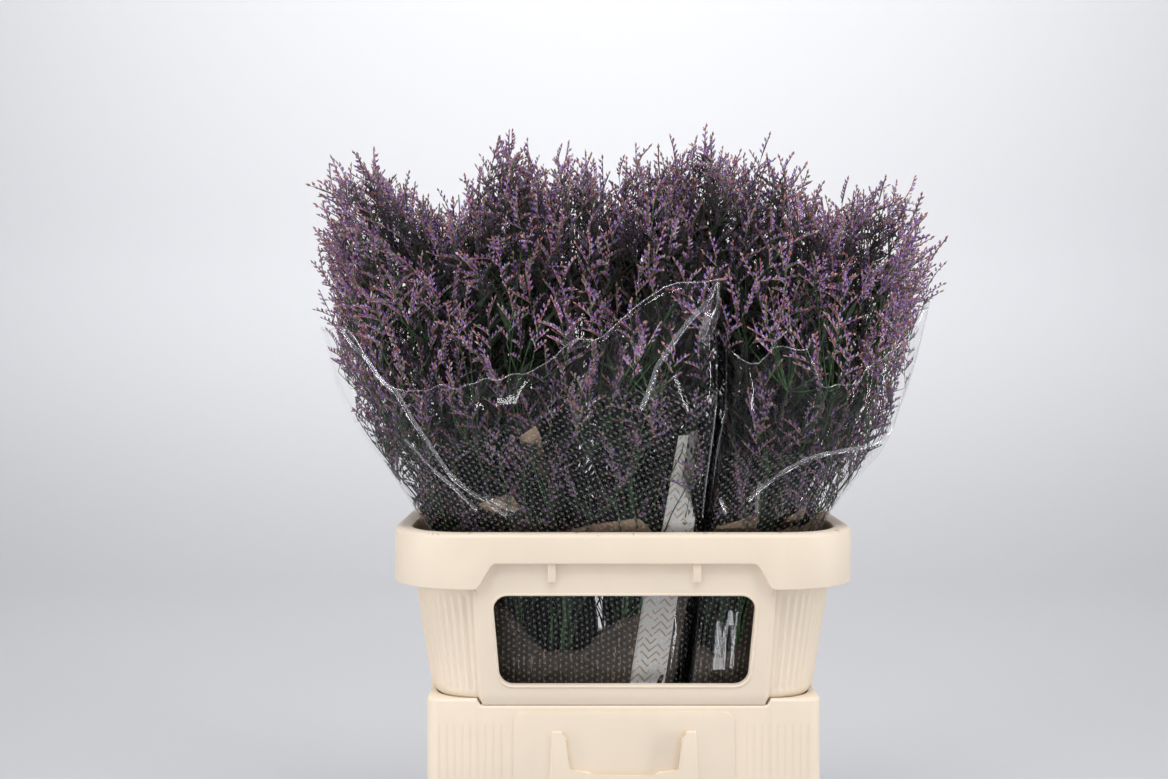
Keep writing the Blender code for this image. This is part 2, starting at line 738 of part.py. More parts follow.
def film_front(bunch, x, height):
    """The sleeve's frontmost Y at a given X and height."""
    middle = between(bunch["middle"], height)
    low, high = -math.pi + 0.05, -0.05
    for _ in range(40):
        angle = (low + high) / 2
        if middle[0] + film_radius(bunch, angle, height) * math.cos(angle) < x:
            low = angle
        else:
            high = angle
    return middle[1] + film_radius(bunch, angle, height) * math.sin(angle)


def strip_grid(inset):
    """The printed strip's points behind the front of the left sleeve, rows by columns."""
    bunch = BUNCHES["front_left"]
    grid = []
    for height, right, width in STRIP_ROWS:
        places = [right - width * k / 2 for k in range(3)]
        grid.append([(x, film_front(bunch, x, height) + FILM + STRIP_DEPTH + inset, height) for x in places])
    return grid


def strip_rods():
    """The printed strip as rods, for the branches to keep clear of."""
    grid = strip_grid(PAPER / 2)
    rods = []
    for lower, upper in zip(grid, grid[1:]):
        for a, b in zip(lower, upper):
            rods.append((np.array(a), np.array(b), 0.009))
    return rods


def printed_strip():
    """A strip of printed paper that hangs inside the front of the left sleeve."""
    return add_object("printed_strip", mesh_from(sheet_solid(strip_grid(0.0), strip_grid(PAPER)), "strip"),
                      "printed_paper")


def band(name, bunch):
    """The elastic band that ties the stems near their cut ends."""
    middle = between(bunch["middle"], TIE_HEIGHT)
    reach = TIE_SPREAD * math.sqrt((bunch["stems"] - 0.5) / bunch["stems"]) + STEM_RADIUS[0] + 0.0002
    thick, tall = BAND_SIZE
    rings = []
    for radius, height in ((reach, -tall / 2), (reach + thick, -tall / 2), (reach + thick, tall / 2), (reach, tall / 2)):
        radius = radius / math.cos(math.pi / 12)
        rings.append([(middle[0] + radius * math.cos(math.tau * k / 12),
                       middle[1] + radius * math.sin(math.tau * k / 12), TIE_HEIGHT + height) for k in range(12)])
    return add_object(f"band_{name}", mesh_from(loft(rings), name), "rubber_band")


# Statice solids


def twig_mesh(twig):
    """A three-sided twig whose faces are raised into flower spikes, with a pointed end."""
    points, radii = twig["points"], twig["radii"]
    bm = bmesh.new()
    rows = [[bm.verts.new(points[i] + radii[i] * d) for d in corner_directions(twig, i)]
            for i in range(len(points))]
    faces = {}
    for i in range(len(rows) - 1):
        for k in range(3):
            after = (k + 1) % 3
            faces[i, k] = bm.faces.new((rows[i][k], rows[i][after], rows[i + 1][after], rows[i + 1][k]))
    bm.faces.new(rows[0][::-1])
    end = bm.faces.new(rows[-1])
    for index, face, _, tip in spikes_of(twig):
        raised = bmesh.ops.poke(bm, faces=[faces[index, face]])
        raised["verts"][0].co = tip
    bmesh.ops.poke(bm, faces=[end])["verts"][0].co = twig_tip(twig)
    return mesh_from(bm, "twig")


def statice():
    """One solid for each stem, its branches joined to it."""
    for name, _, twigs in grow_statice():
        stem = add_object(name, twig_mesh(twigs[0]), "statice")
        if len(twigs) > 1:
            combine(stem, [twig_mesh(twig) for twig in twigs[1:]], "UNION")


def main():
    for obj in list(bpy.data.objects):
        bpy.data.objects.remove(obj)
    for bunch in BUNCHES.values():
        bunch["shape"] = sleeve_shape(bunch)
    bucket()
    collar()
    for name, bunch in BUNCHES.items():
        sleeve(name, bunch)
        liner(name, bunch)
        band(name, bunch)
    printed_strip()
    statice()


main()
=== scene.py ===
"""Dried statice in clear sleeves, standing in a flower bucket under a windowed collar.

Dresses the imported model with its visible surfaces. Metres, +Z up, the front faces -Y.
"""

import math
import random

import bmesh
import bpy
import numpy as np
from bpy.props import FloatProperty, FloatVectorProperty, IntProperty, PointerProperty
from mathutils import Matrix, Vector


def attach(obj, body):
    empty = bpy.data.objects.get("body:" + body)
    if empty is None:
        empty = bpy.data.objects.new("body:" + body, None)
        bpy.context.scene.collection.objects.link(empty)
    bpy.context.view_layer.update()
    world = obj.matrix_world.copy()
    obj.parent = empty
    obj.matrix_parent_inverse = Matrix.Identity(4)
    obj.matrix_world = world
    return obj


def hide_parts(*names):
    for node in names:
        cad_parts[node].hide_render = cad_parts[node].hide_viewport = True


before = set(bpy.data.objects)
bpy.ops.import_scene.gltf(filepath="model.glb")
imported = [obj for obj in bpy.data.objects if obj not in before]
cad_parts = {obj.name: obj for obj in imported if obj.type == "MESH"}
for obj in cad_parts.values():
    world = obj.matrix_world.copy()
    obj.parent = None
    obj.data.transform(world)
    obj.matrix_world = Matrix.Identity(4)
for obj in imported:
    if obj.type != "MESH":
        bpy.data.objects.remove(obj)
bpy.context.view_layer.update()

bl_info = {
    "name": "Dried statice bucket",
    "version": (1, 0, 0),
    "blender": (4, 5, 0),
    "location": "View3D > Sidebar > Statice",
    "description": "Builds sleeved bunches of statice in a windowed flower bucket",
    "category": "Add Mesh",
}

TAU = math.tau
TINY = 1e-9
FAR = 1e3

# Bucket, the same sizes as the solid
BUCKET_HALF = (0.190, 0.140)
BUCKET_CORNER = 0.014
BUCKET_TOP = 0.3197
BUCKET_WALL_HALF = (0.1843, 0.1343)
BUCKET_FOOT_HALF = (0.163, 0.114)
SKIRT_INSIDE_HALF = (0.1872, 0.1372)
SKIRT_TOP = 0.304
SKIRT_BOTTOM = 0.192
FLOOR = 0.004
NOTCH_DEPTH = 0.006
RIB_HEIGHTS = (0.205, 0.296)
RIB_HALF = 0.0006

# Collar, the same sizes as the solid
COLLAR_SEAT = 0.320
COLLAR_TOP = 0.482
RIM_HALF = (0.225, 0.166)
RIM_CORNER = 0.078
RIM_ROUNDING = 0.0052
RIM_DEPTH_MIDDLE = 0.0285
RIM_DEPTH_CORNER = 0.053
LIP_HALF = (0.206, 0.151)
LIP_CORNER = 0.058
WALL_SEAT_HALF = (0.185, 0.135)
WALL_TOP_HALF = (0.209, 0.159)
WALL_CORNER = (0.045, 0.060)
PANEL_PROUD = 0.005
PANEL_SEAT = (0.135, 0.080)
PANEL_TOP = (0.1415, 0.0845)
PANEL_FOOT = (0.112, 0.066)
PLUG_BOTTOM = 0.306
WINDOW_HALF = (0.120, 0.1245)
WINDOW_HEIGHTS = (0.333, 0.422)
WINDOW_CORNER = 0.014
TAB_X = 0.0685
FLUTES = 10
FLUTE_HEIGHTS = (0.330, 0.419)
FLUTE_MARGIN = 0.02

# Where the collar's outline has its points, as shares of a panel's half width, and steps to a corner
COLLAR_SHARES = (
    [-1.035, -1.02, -1.0] + [-1.0 + 0.0175 * k for k in range(1, 9)] + [-0.7, -0.35, 0.0, 0.35, 0.7]
    + [0.86 + 0.0175 * k for k in range(8)] + [1.0, 1.02, 1.035])
COLLAR_ARC = 60
BUCKET_SHARES = (-1.055, -1.045, -1.035, -1.02, -1.0, -0.5, 0.0, 0.5, 1.0, 1.02, 1.035, 1.045, 1.055)
BUCKET_ARC = 12

# Levels at which the stems bend: in the bucket, at the collar's lip and in the crown
IN_BUCKET = 0.30
AT_LIP = 0.484
IN_CROWN = 0.60

# Half sizes of the whole crown by height, and how square it is there
CROWN = {
    0.10: (0.166, 0.117, 4.0),
    0.30: (0.168, 0.117, 5.0),
    0.44: (0.188, 0.134, 5.0),
    0.484: (0.2064, 0.1514, 5.0),
    0.53: (0.236, 0.172, 4.0),
    0.60: (0.285, 0.212, 3.0),
    0.68: (0.308, 0.232, 2.8),
    0.76: (0.325, 0.246, 2.6),
    0.90: (0.340, 0.255, 2.5),
}
# The sleeve's own greatest radius by height, and the planes between the bunches, as X by height
OPENING = {0.10: 0.044, 0.30: 0.130, 0.44: 0.160, 0.484: 0.30, 0.90: 0.40}
FRONT_PLANE = {0.10: 0.005, 0.30: 0.058, 0.484: 0.078, 0.60: 0.090}
BACK_PLANE = {0.10: 0.0, 0.484: -0.030, 0.60: -0.040}

# Sleeves: the gap between two of them, their lowest row, and the columns of points round each
FILM_GAP = 0.0012
FILM_FOOT = 0.10
FILM_COLUMNS = 150
FILM_LOW_ROWS = (0.10, 0.17, 0.24, 0.30, 0.345, 0.385, 0.42, 0.45, 0.47)
FILM_RISE_ROWS = 29
BEAD_RADIUS = 0.0006
# Flowers keep this far from the film of their own sleeve, and from a neighbour's
CLEAR_INSIDE = 0.0022
CLEAR_OUTSIDE = 0.0012
FILM_SHINE = (0.96, 0.97, 1.0, 1.0)
RIM_GREY = (0.60, 0.60, 0.62, 1.0)
# The holes stand further apart round the film than up it
HOLE_STRETCH = 1.68
# How sharply a sleeve turns the corner where two of its limits meet
SQUARENESS = 18.0
# The front and back sleeves meet along a wave, so that nothing shows between them from the side
WAVE_DEPTH = 0.0062
WAVE_TURNS = 27.0
WAVE_FOOT = 0.490
WAVE_RISE = 0.07
# Width of a welded seam, and the share of it that the seam stands proud
SEAM_WIDTH = 0.0052
SEAM_ARCH = 0.24

# Each bunch: the sides it stands on, its stems, its middle and dividing plane by height, the top edge
# of its sleeve as (angle in degrees, height), its welded seams, its folds as (width, share of the
# width that they stand proud, tilt in X and Z, points), and a phase for the hollows in its film
BUNCHES = {
    "front_left": {
        "sides": (-1, -1),
        "stems": 11,
        "middle": {0.10: (-0.078, -0.052), 0.30: (-0.065, -0.064), 0.484: (-0.065, -0.075),
                   0.60: (-0.110, -0.110)},
        "plane": FRONT_PLANE,
        "edge": ((0, 0.690), (60, 0.680), (150, 0.675), (193, 0.675), (214, 0.616), (240, 0.620),
                 (277, 0.631), (304, 0.663), (322, 0.711), (337, 0.728), (352, 0.702)),
        "seams": (((192, 0.675), (197, 0.657), (207, 0.640), (214, 0.614), (219, 0.573), (221, 0.531),
                   (240, 0.497)),
                  ((337, 0.727), (336, 0.660), (335, 0.580), (334, 0.495)),
                  ((330, 0.716), (325, 0.680), (321, 0.640), (321, 0.600))),
        "folds": ((0.0130, 0.10, (-0.70, 0.28),
                   ((336, 0.718), (333, 0.702), (329, 0.684), (328, 0.660))),
                  (0.0040, 0.24, (0, 0), ((209, 0.570), (216, 0.540), (226, 0.502))),
                  (0.0080, 0.12, (-0.20, 0.45), ((232, 0.516), (239, 0.507), (246, 0.501)))),
        "phase": 0.7,
    },
    "front_right": {
        "sides": (1, -1),
        "stems": 8,
        "middle": {0.10: (0.090, -0.050), 0.30: (0.116, -0.064), 0.484: (0.141, -0.075),
                   0.60: (0.200, -0.110)},
        "plane": FRONT_PLANE,
        "edge": ((5, 0.706), (60, 0.685), (180, 0.670), (222, 0.655), (231, 0.640), (239, 0.658),
                 (249, 0.653), (256, 0.622), (273, 0.621), (305, 0.645), (330, 0.662)),
        "seams": (((366, 0.703), (362, 0.650), (355, 0.603), (344, 0.574), (322, 0.562), (296, 0.559),
                   (268, 0.555), (252, 0.535), (244, 0.512)),
                  ((205, 0.655), (206, 0.600), (210, 0.497))),
        "folds": ((0.0050, 0.24, (0, 0), ((230, 0.515), (233, 0.508), (236, 0.500))),
                  (0.0050, 0.24, (0, 0), ((246, 0.530), (250, 0.512), (254, 0.500)))),
        "phase": 2.9,
    },
    "back_left": {
        "sides": (-1, 1),
        "stems": 9,
        "middle": {0.10: (-0.090, 0.052), 0.484: (-0.115, 0.075), 0.60: (-0.180, 0.110)},
        "plane": BACK_PLANE,
        "edge": ((0, 0.700), (60, 0.690), (110, 0.670), (158, 0.757), (185, 0.690), (205, 0.655),
                 (270, 0.690)),
        "seams": (((158, 0.755), (154, 0.680), (146, 0.600), (134, 0.497)),
                  ((40, 0.692), (44, 0.600), (50, 0.497))),
        "folds": (),
        "phase": 4.4,
    },
    "back_right": {
        "sides": (1, 1),
        "stems": 9,
        "middle": {0.10: (0.076, 0.054), 0.484: (0.085, 0.075), 0.60: (0.140, 0.110)},
        "plane": BACK_PLANE,
        "edge": ((20, 0.705), (70, 0.665), (110, 0.690), (150, 0.675), (180, 0.700), (300, 0.690)),
        "seams": (((20, 0.704), (28, 0.620), (40, 0.497)), ((140, 0.677), (136, 0.600), (128, 0.497))),
        "folds": (),
        "phase": 5.6,
    },
}

# Stems
SEED = 24
STEM_FOOT = FLOOR + 0.0003
TIE_HEIGHT = 0.075
TIE_SPREAD = 0.020
FOOT_SPREAD = 0.027
STEM_REACH = 0.80
STEM_RADIUS = 0.0022
SHOULDER_HEIGHT = 0.76
TIP_HEIGHT = 0.886
TIP_FALL = (0.070, 0.125)
TIP_JITTER = 0.018
CROWN_FLARE = (0.62, 1.20)
GOLDEN_TURN = math.pi * (3 - math.sqrt(5))
# How far the thin stems stand from the line of their solid one, from foot to tip
THIN_STEM_SPREAD = (0.0013, 0.0010, 0.0060, 0.0100, 0.0180, 0.0340)

# The crown's outline from the front, as X and height, and how far it falls to the front and back
SKYLINE = ((-0.40, 0.66), (-0.360, 0.715), (-0.330, 0.745), (-0.311, 0.780), (-0.289, 0.848),
           (-0.262, 0.862), (-0.221, 0.841), (-0.189, 0.808), (-0.150, 0.836), (-0.116, 0.882),
           (-0.079, 0.858), (-0.042, 0.862), (-0.014, 0.838), (0.021, 0.866), (0.050, 0.856),
           (0.081, 0.890), (0.105, 0.856), (0.147, 0.862), (0.195, 0.822), (0.221, 0.814),
           (0.255, 0.830), (0.276, 0.832), (0.303, 0.784), (0.328, 0.742), (0.40, 0.66))
CROWN_FOOT = 0.492
SKYLINE_FALL = 0.120
CROWN_BOX = ((-0.36, -0.29, CROWN_FOOT), (0.36, 0.29, 0.91))

# Sprays and spikes: depth of the outermost layer, depth to which spikes have florets, reach of a bough
OUTER_DEPTH = 0.024
FLORET_DEPTH = 0.058
BOUGH_CELL = 0.058
BOUGH_REACH = 0.056
TEMPLATE_LENGTH = 0.024
BUD_FACES = ((2, 1, 0), (3, 2, 0), (1, 3, 0), (1, 2, 4), (2, 3, 4), (3, 1, 4))
# Near-black colours for painted shade: specks among the florets, and the depths of the crown
PLANT_SHADOW = (0.008, 0.006, 0.010, 1.0)
CROWN_SHADOW = (0.004, 0.006, 0.004, 1.0)

# Paper: the upper edge of each liner as (angle, height), and its loose corners as (angle, height of
# the tip, half width in degrees)
LINER_EDGES = {
    "front_left": ((117, 0.480), (150, 0.505), (180, 0.488), (205, 0.470), (218, 0.414),
                   (227, 0.396), (240, 0.374), (253, 0.361), (294, 0.362), (311, 0.388),
                   (325, 0.400), (331, 0.430), (336, 0.484)),
    "front_right": ((207, 0.480), (222, 0.372), (240, 0.356), (262, 0.368), (275, 0.470),
                    (285, 0.486), (300, 0.484), (340, 0.505), (360, 0.484), (423, 0.484)),
    "back_left": ((27, 0.484), (63, 0.500), (99, 0.486), (135, 0.556), (171, 0.486), (207, 0.520),
                  (243, 0.484)),
    "back_right": ((-63, 0.484), (-27, 0.510), (9, 0.486), (45, 0.560), (81, 0.486), (117, 0.515),
                   (153, 0.484)),
}
LINER_CORNERS = {
    "front_left": ((277, 0.587, 9), (236, 0.522, 13), (300, 0.497, 24)),
    "front_right": ((243, 0.500, 16), (288, 0.508, 10)),
    "back_left": ((120, 0.545, 12), (60, 0.505, 14)),
    "back_right": ((66, 0.520, 12), (120, 0.500, 14)),
}
LINER_FOOT = 0.130
LINER_COLUMNS = 121
SHEET_THICKNESS = 0.0004
# The printed strip, as (height, X of its right edge, width)
STRIP_ROWS = ((0.328, 0.040, 0.034), (0.44, 0.056, 0.033), (0.484, 0.066, 0.030), (0.53, 0.070, 0.027),
              (0.575, 0.072, 0.023))
STRIP_LEVELS = 60
STRIP_COLUMNS = 11
CHEVRON_WIDTH = 0.0125
CHEVRON_PITCH = 0.0074

# Camera
CAMERA_PLACE = (-0.0382, -1.4683, 0.6495)
CAMERA_PITCH = 88.573
CAMERA_LENS = 43.0

# Brightness of the thin lights that draw the streaks on the film
STRIP_GLOW = 26.0

# Where the backdrop starts to curve up, and how gently
SWEEP_START = 2.4
SWEEP_RADIUS = 1.2


# Sizes and colours


class BucketLook(bpy.types.PropertyGroup):
    """The moulded bucket and collar"""

    plastic: FloatVectorProperty(
        name="Plastic", description="Colour of the moulded plastic",
        subtype="COLOR", size=3, min=0, max=1, default=(0.775, 0.662, 0.532))
    dirt: FloatVectorProperty(
        name="Dirt", description="Colour of the dirt in scratches and corners",
        subtype="COLOR", size=3, min=0, max=1, default=(0.20, 0.12, 0.07))
    wear: FloatProperty(
        name="Wear", description="How much scuffing and dirt shows",
        subtype="FACTOR", min=0, max=1, default=0.5)
    flute_depth: FloatProperty(
        name="Flute depth", description="Depth of the upright flutes at the collar's corners",
        subtype="DISTANCE", unit="LENGTH", min=0, max=0.003, default=0.0019)


class FilmLook(bpy.types.PropertyGroup):
    """The clear sleeves"""

    thickness: FloatProperty(
        name="Thickness", description="Thickness of the film",
        subtype="DISTANCE", unit="LENGTH", min=0.0001, max=0.001, default=0.00025)
    sag: FloatProperty(
        name="Sag", description="Depth of the broad hollows above the collar",
        subtype="DISTANCE", unit="LENGTH", min=0, max=0.02, default=0.006)
    fold: FloatProperty(
        name="Fold", description="Depth of the narrow folds that rise from the collar",
        subtype="DISTANCE", unit="LENGTH", min=0, max=0.01, default=0.0032)
    hole_pitch: FloatProperty(
        name="Hole pitch", description="Distance between the rows of small holes",
        subtype="DISTANCE", unit="LENGTH", min=0.002, max=0.02, default=0.0061)
    haze: FloatProperty(
        name="Haze", description="How much of the film shows where it is seen square on",
        subtype="FACTOR", min=0, max=1, default=0.001)


class PaperLook(bpy.types.PropertyGroup):
    """The brown paper, the printed strip and the elastic bands"""

    kraft: FloatVectorProperty(
        name="Kraft paper", description="Colour of the brown paper",
        subtype="COLOR", size=3, min=0, max=1, default=(0.27, 0.195, 0.13))
    # The strip's white paper gets a grey ground colour: painted shade
    strip: FloatVectorProperty(
        name="Strip", description="Ground colour of the printed strip",
        subtype="COLOR", size=3, min=0, max=1, default=(0.44, 0.44, 0.44))
    ink: FloatVectorProperty(
        name="Ink", description="Colour of the printed chevrons",
        subtype="COLOR", size=3, min=0, max=1, default=(0.26, 0.19, 0.10))
    rubber: FloatVectorProperty(
        name="Rubber", description="Colour of the elastic bands",
        subtype="COLOR", size=3, min=0, max=1, default=(0.50, 0.33, 0.16))


class StaticeLook(bpy.types.PropertyGroup):
    """The flowering stems"""

    petal: FloatVectorProperty(
        name="Petals", description="Colour of most petals",
        subtype="COLOR", size=3, min=0, max=1, default=(0.24, 0.115, 0.56))
    pale_petal: FloatVectorProperty(
        name="Pale petals", description="Colour of the palest petals",
        subtype="COLOR", size=3, min=0, max=1, default=(0.68, 0.57, 0.86))
    calyx: FloatVectorProperty(
        name="Calyx", description="Colour of the dry calyx under each petal",
        subtype="COLOR", size=3, min=0, max=1, default=(0.38, 0.105, 0.14))
    pale_calyx: FloatVectorProperty(
        name="Pale calyx", description="Colour of the palest calyx tips",
        subtype="COLOR", size=3, min=0, max=1, default=(0.66, 0.60, 0.57))
    stem: FloatVectorProperty(
        name="Stems", description="Colour of the stems",
        subtype="COLOR", size=3, min=0, max=1, default=(0.030, 0.075, 0.022))
    leaf: FloatVectorProperty(
        name="Leaves", description="Colour of the narrow leaves inside",
        subtype="COLOR", size=3, min=0, max=1, default=(0.012, 0.024, 0.010))
    spike_length: FloatProperty(
        name="Spike length", description="Length of an average flower spike",
        subtype="DISTANCE", unit="LENGTH", min=0.01, max=0.05, default=0.024)
    outer_spacing: FloatProperty(
        name="Outer spacing", description="Distance between sprays at the outside of the crown",
        subtype="DISTANCE", unit="LENGTH", min=0.015, max=0.06, default=0.0228)
    inner_spacing: FloatProperty(
        name="Inner spacing", description="Distance between sprays inside the crown",
        subtype="DISTANCE", unit="LENGTH", min=0.02, max=0.08, default=0.030)
    inner_size: FloatProperty(
        name="Inner size", description="Size of the hidden inner spikes against the outer ones",
        min=0.5, max=3, default=1.5)
    leaves_each: IntProperty(
        name="Leaves each", description="Narrow leaves on each thin stem",
        min=0, max=40, default=26)
    stems_each: IntProperty(
        name="Stems each", description="Thin stems in place of each solid stem",
        min=1, max=8, default=4)


class StageLook(bpy.types.PropertyGroup):
    """Floor, backdrop and lights"""

    backdrop: FloatVectorProperty(
        name="Backdrop", description="Colour of the floor and the wall behind",
        subtype="COLOR", size=3, min=0, max=1, default=(0.80, 0.80, 0.82))
    key_power: FloatProperty(
        name="Key light", description="Power of the large front lights",
        subtype="POWER", unit="POWER", min=0, max=500, default=17)
    top_power: FloatProperty(
        name="Top light", description="Power of the light overhead",
        subtype="POWER", unit="POWER", min=0, max=500, default=30)


LOOKS = {
    "statice_bucket": BucketLook,
    "statice_film": FilmLook,
    "statice_paper": PaperLook,
    "statice_flowers": StaticeLook,
    "statice_stage": StageLook,
}


# Reading the tables


def read_table(table, heights):
    """Reads a table by height, straight between its rows."""
    knots = np.array(sorted(table))
    rows = np.array([np.atleast_1d(table[k]) for k in knots], float)
    return np.stack([np.interp(heights, knots, rows[:, k]) for k in range(rows.shape[1])], axis=-1)


def read_smoothly(table, heights):
    """Reads a table by height, on a smooth curve through its rows."""
    knots = np.array(sorted(table))
    rows = np.array([np.atleast_1d(table[k]) for k in knots], float)
    slopes = np.gradient(rows, knots, axis=0)
    heights = np.clip(np.asarray(heights, float), knots[0], knots[-1])
    low = np.clip(np.searchsorted(knots, heights, side="right") - 1, 0, len(knots) - 2)
    span = (knots[low + 1] - knots[low])[..., None]
    t = (heights - knots[low])[..., None] / span
    start = (1 + 2 * t) * (1 - t) ** 2 * rows[low] + t * (1 - t) ** 2 * span * slopes[low]
    return start + t**2 * (3 - 2 * t) * rows[low + 1] + t**2 * (t - 1) * span * slopes[low + 1]


def unit(vectors):
    """The same vectors, each of length one."""
    return vectors / np.maximum(np.linalg.norm(vectors, axis=-1, keepdims=True), TINY)


def eased(value):
    """A smooth step: 0 up to 0, 1 from 1."""
    value = np.clip(value, 0, 1)
    return value * value * (3 - 2 * value)


def soften(values, times):
    """Evens out a row of values in place, with its ends held."""
    for _ in range(times):
        values[1:-1] = (values[:-2] + 2 * values[1:-1] + values[2:]) / 4


# Sleeve outlines


def superellipse(x, y, half):
    """How far out points are, 1 on the outline, whose two half sizes and power are given."""
    power = half[..., 2]
    return (np.abs(x / half[..., 0]) ** power + np.abs(y / half[..., 1]) ** power) ** (1 / power)


def film_outline(name, angle, height):
    """The sleeve's radius about its middle: inside the crown, its opening and its dividing planes."""
    bunch = BUNCHES[name]
    angle, height = np.broadcast_arrays(np.asarray(angle, float), np.asarray(height, float))
    middle = read_smoothly(bunch["middle"], height)
    half = read_smoothly(CROWN, height)
    cos_a, sin_a = np.cos(angle), np.sin(angle)
    low, high = np.zeros(angle.shape), half[..., 0] + half[..., 1]
    for _ in range(24):
        reach = (low + high) / 2
        outside = superellipse(middle[..., 0] + reach * cos_a, middle[..., 1] + reach * sin_a, half) > 1
        low, high = np.where(outside, low, reach), np.where(outside, reach, high)
    total = low**-SQUARENESS + read_table(OPENING, height)[..., 0] ** -SQUARENESS
    to_plane = read_smoothly(bunch["plane"], height)[..., 0] - middle[..., 0]
    wave = WAVE_DEPTH * np.clip((height - WAVE_FOOT) / WAVE_RISE, 0, 1)
    to_middle = -middle[..., 1]
    for _ in range(4):
        distance = np.clip(to_middle / np.where(np.abs(sin_a) > 0.05, sin_a, FAR), 0, 0.4)
        to_middle = wave * np.sin((middle[..., 0] + distance * cos_a) * WAVE_TURNS) - middle[..., 1]
    for gap, way in ((to_plane, cos_a), (to_middle, sin_a)):
        facing = gap * way > TINY
        distance = (np.abs(gap) - FILM_GAP) / np.maximum(np.abs(way), TINY)
        total = total + np.where(facing, distance, FAR) ** -SQUARENESS
    return total ** (-1 / SQUARENESS)


def film_folds(name, angle, height):
    """How far the film draws in from its outline: broad hollows, and narrow folds from the collar."""
    look = bpy.context.scene.statice_film
    phase = BUNCHES[name]["phase"]
    rise = np.clip((height - COLLAR_TOP) / 0.20, 0, 1.4)
    held = np.clip((height - 0.44) / 0.06, 0, 1)
    broad = 0.5 + 0.5 * np.sin(3 * angle + phase + 2.2 * rise)
    lean = angle + 0.30 * rise
    crest = np.abs(np.sin(6.5 * lean + 1.2 * np.sin(3 * angle + phase) + phase))
    narrow = 1 - (1 - crest) ** 3
    crest = np.abs(np.sin(14 * angle - 1.1 * np.sin(5 * angle) + 2 * phase - 1.6 * rise))
    fine = 1 - (1 - crest) ** 3
    sag = look.sag * broad * np.clip(rise, 0, 1)
    narrow = narrow * (0.25 + 0.75 * np.exp(-rise * 1.2))
    folds = look.fold * (narrow + 0.40 * fine * np.exp(-rise * 2.2))
    return sag + folds * (0.14 + 0.86 * held)


def film_belly(name, angle, height):
    """How far the film bellies out over the collar's right-hand corner."""
    if name != "front_right":
        return np.zeros(np.broadcast(angle, height).shape)
    turn = (np.asarray(angle) + TAU * 0.07 + math.pi) % TAU - math.pi
    return 0.012 * np.exp(-((turn / 0.55) ** 2)) * np.exp(-(((height - 0.558) / 0.036) ** 2))


def film_radius(name, angle, height):
    """The radius of the dressed film: its outline with its folds and its belly."""
    outline, folds = film_outline(name, angle, height), film_folds(name, angle, height)
    return outline - folds + film_belly(name, angle, height)


def edge_height(name, angle):
    """The height of the sleeve's top edge at a compass angle, eased between the given ones."""
    rows = BUNCHES[name]["edge"]
    marks = np.array([rows[-1][0] - 360] + [row[0] for row in rows] + [rows[0][0] + 360], float)
    levels = np.array([rows[-1][1]] + [row[1] for row in rows] + [rows[0][1]])
    degrees = np.degrees(angle) % 360
    low = np.clip(np.searchsorted(marks, degrees, side="right") - 1, 0, len(marks) - 2)
    share = (1 - np.cos(np.pi * (degrees - marks[low]) / (marks[low + 1] - marks[low]))) / 2
    phase = BUNCHES[name]["phase"]
    ripple = 0.0016 * np.sin(17 * angle + phase) + 0.0011 * np.sin(29 * angle + 2 * phase)
    return levels[low] + (levels[low + 1] - levels[low]) * share + ripple


def on_film(name, angle, height, inset=0.0):
    """Points on the dressed film, moved in towards the bunch's middle by inset."""
    angle, height = np.broadcast_arrays(np.asarray(angle, float), np.asarray(height, float))
    middle = read_smoothly(BUNCHES[name]["middle"], height)
    radius = film_radius(name, angle, height) - inset
    x, y = middle[..., 0] + radius * np.cos(angle), middle[..., 1] + radius * np.sin(angle)
    return np.stack([x, y, height], -1)


class FilmMap:
    """The dressed film's radius on a fine grid, for reading at many points at once."""

    def __init__(self, name, columns=180, rows=83, top=0.92):
        self.name = name
        self.columns = columns
        self.heights = np.linspace(FILM_FOOT, top, rows)
        angles = np.arange(columns) * TAU / columns
        self.rows = film_radius(name, angles[None, :], self.heights[:, None])

    def radius(self, angle, height):
        level = np.interp(height, self.heights, np.arange(len(self.heights)))
        low = np.minimum(level.astype(int), len(self.heights) - 2)
        place = (angle % TAU) / TAU * self.columns
        first = place.astype(int) % self.columns
        after = (first + 1) % self.columns
        up, past = level - low, place - np.floor(place)
        lower = self.rows[low, first] * (1 - past) + self.rows[low, after] * past
        upper = self.rows[low + 1, first] * (1 - past) + self.rows[low + 1, after] * past
        return lower * (1 - up) + upper * up

    def place(self, points):
        """The middle, angle, distance from the middle, film radius and edge height at each point."""
        middle = read_smoothly(BUNCHES[self.name]["middle"], points[:, 2])
        offset = points[:, :2] - middle
        angle = np.arctan2(offset[:, 1], offset[:, 0])
        distance = np.hypot(offset[:, 0], offset[:, 1])
        return middle, angle, distance, self.radius(angle, points[:, 2]), edge_height(self.name, angle)


def keep_from_film(points, own, maps):
    """Presses flowers back behind their own film, and out of the neighbours' sleeves."""
    points = points.copy()
    for name in [other for other in BUNCHES if other != own] + [own]:
        middle, angle, distance, film, edge = maps[name].place(points)
        below = (points[:, 2] < edge + 0.001) & (points[:, 2] > FILM_FOOT)
        if name == own:
            limit = film - CLEAR_INSIDE
            wrong = below & (distance > limit)
        else:
            limit = film + CLEAR_OUTSIDE
            wrong = below & (distance < limit) & (points[:, 2] > CROWN_FOOT)
        points[wrong, 0] = middle[wrong, 0] + (limit * np.cos(angle))[wrong]
        points[wrong, 1] = middle[wrong, 1] + (limit * np.sin(angle))[wrong]
    return points


# Mesh helpers


def finish_piece(obj, slot, *nodes):
    """Puts a piece on the one body and hides the solids that it stands for."""
    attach(obj, "root")
    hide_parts(*nodes)


def add_object(name, data):
    """A new object in the scene."""
    obj = bpy.data.objects.new(name, data)
    bpy.context.scene.collection.objects.link(obj)
    return obj


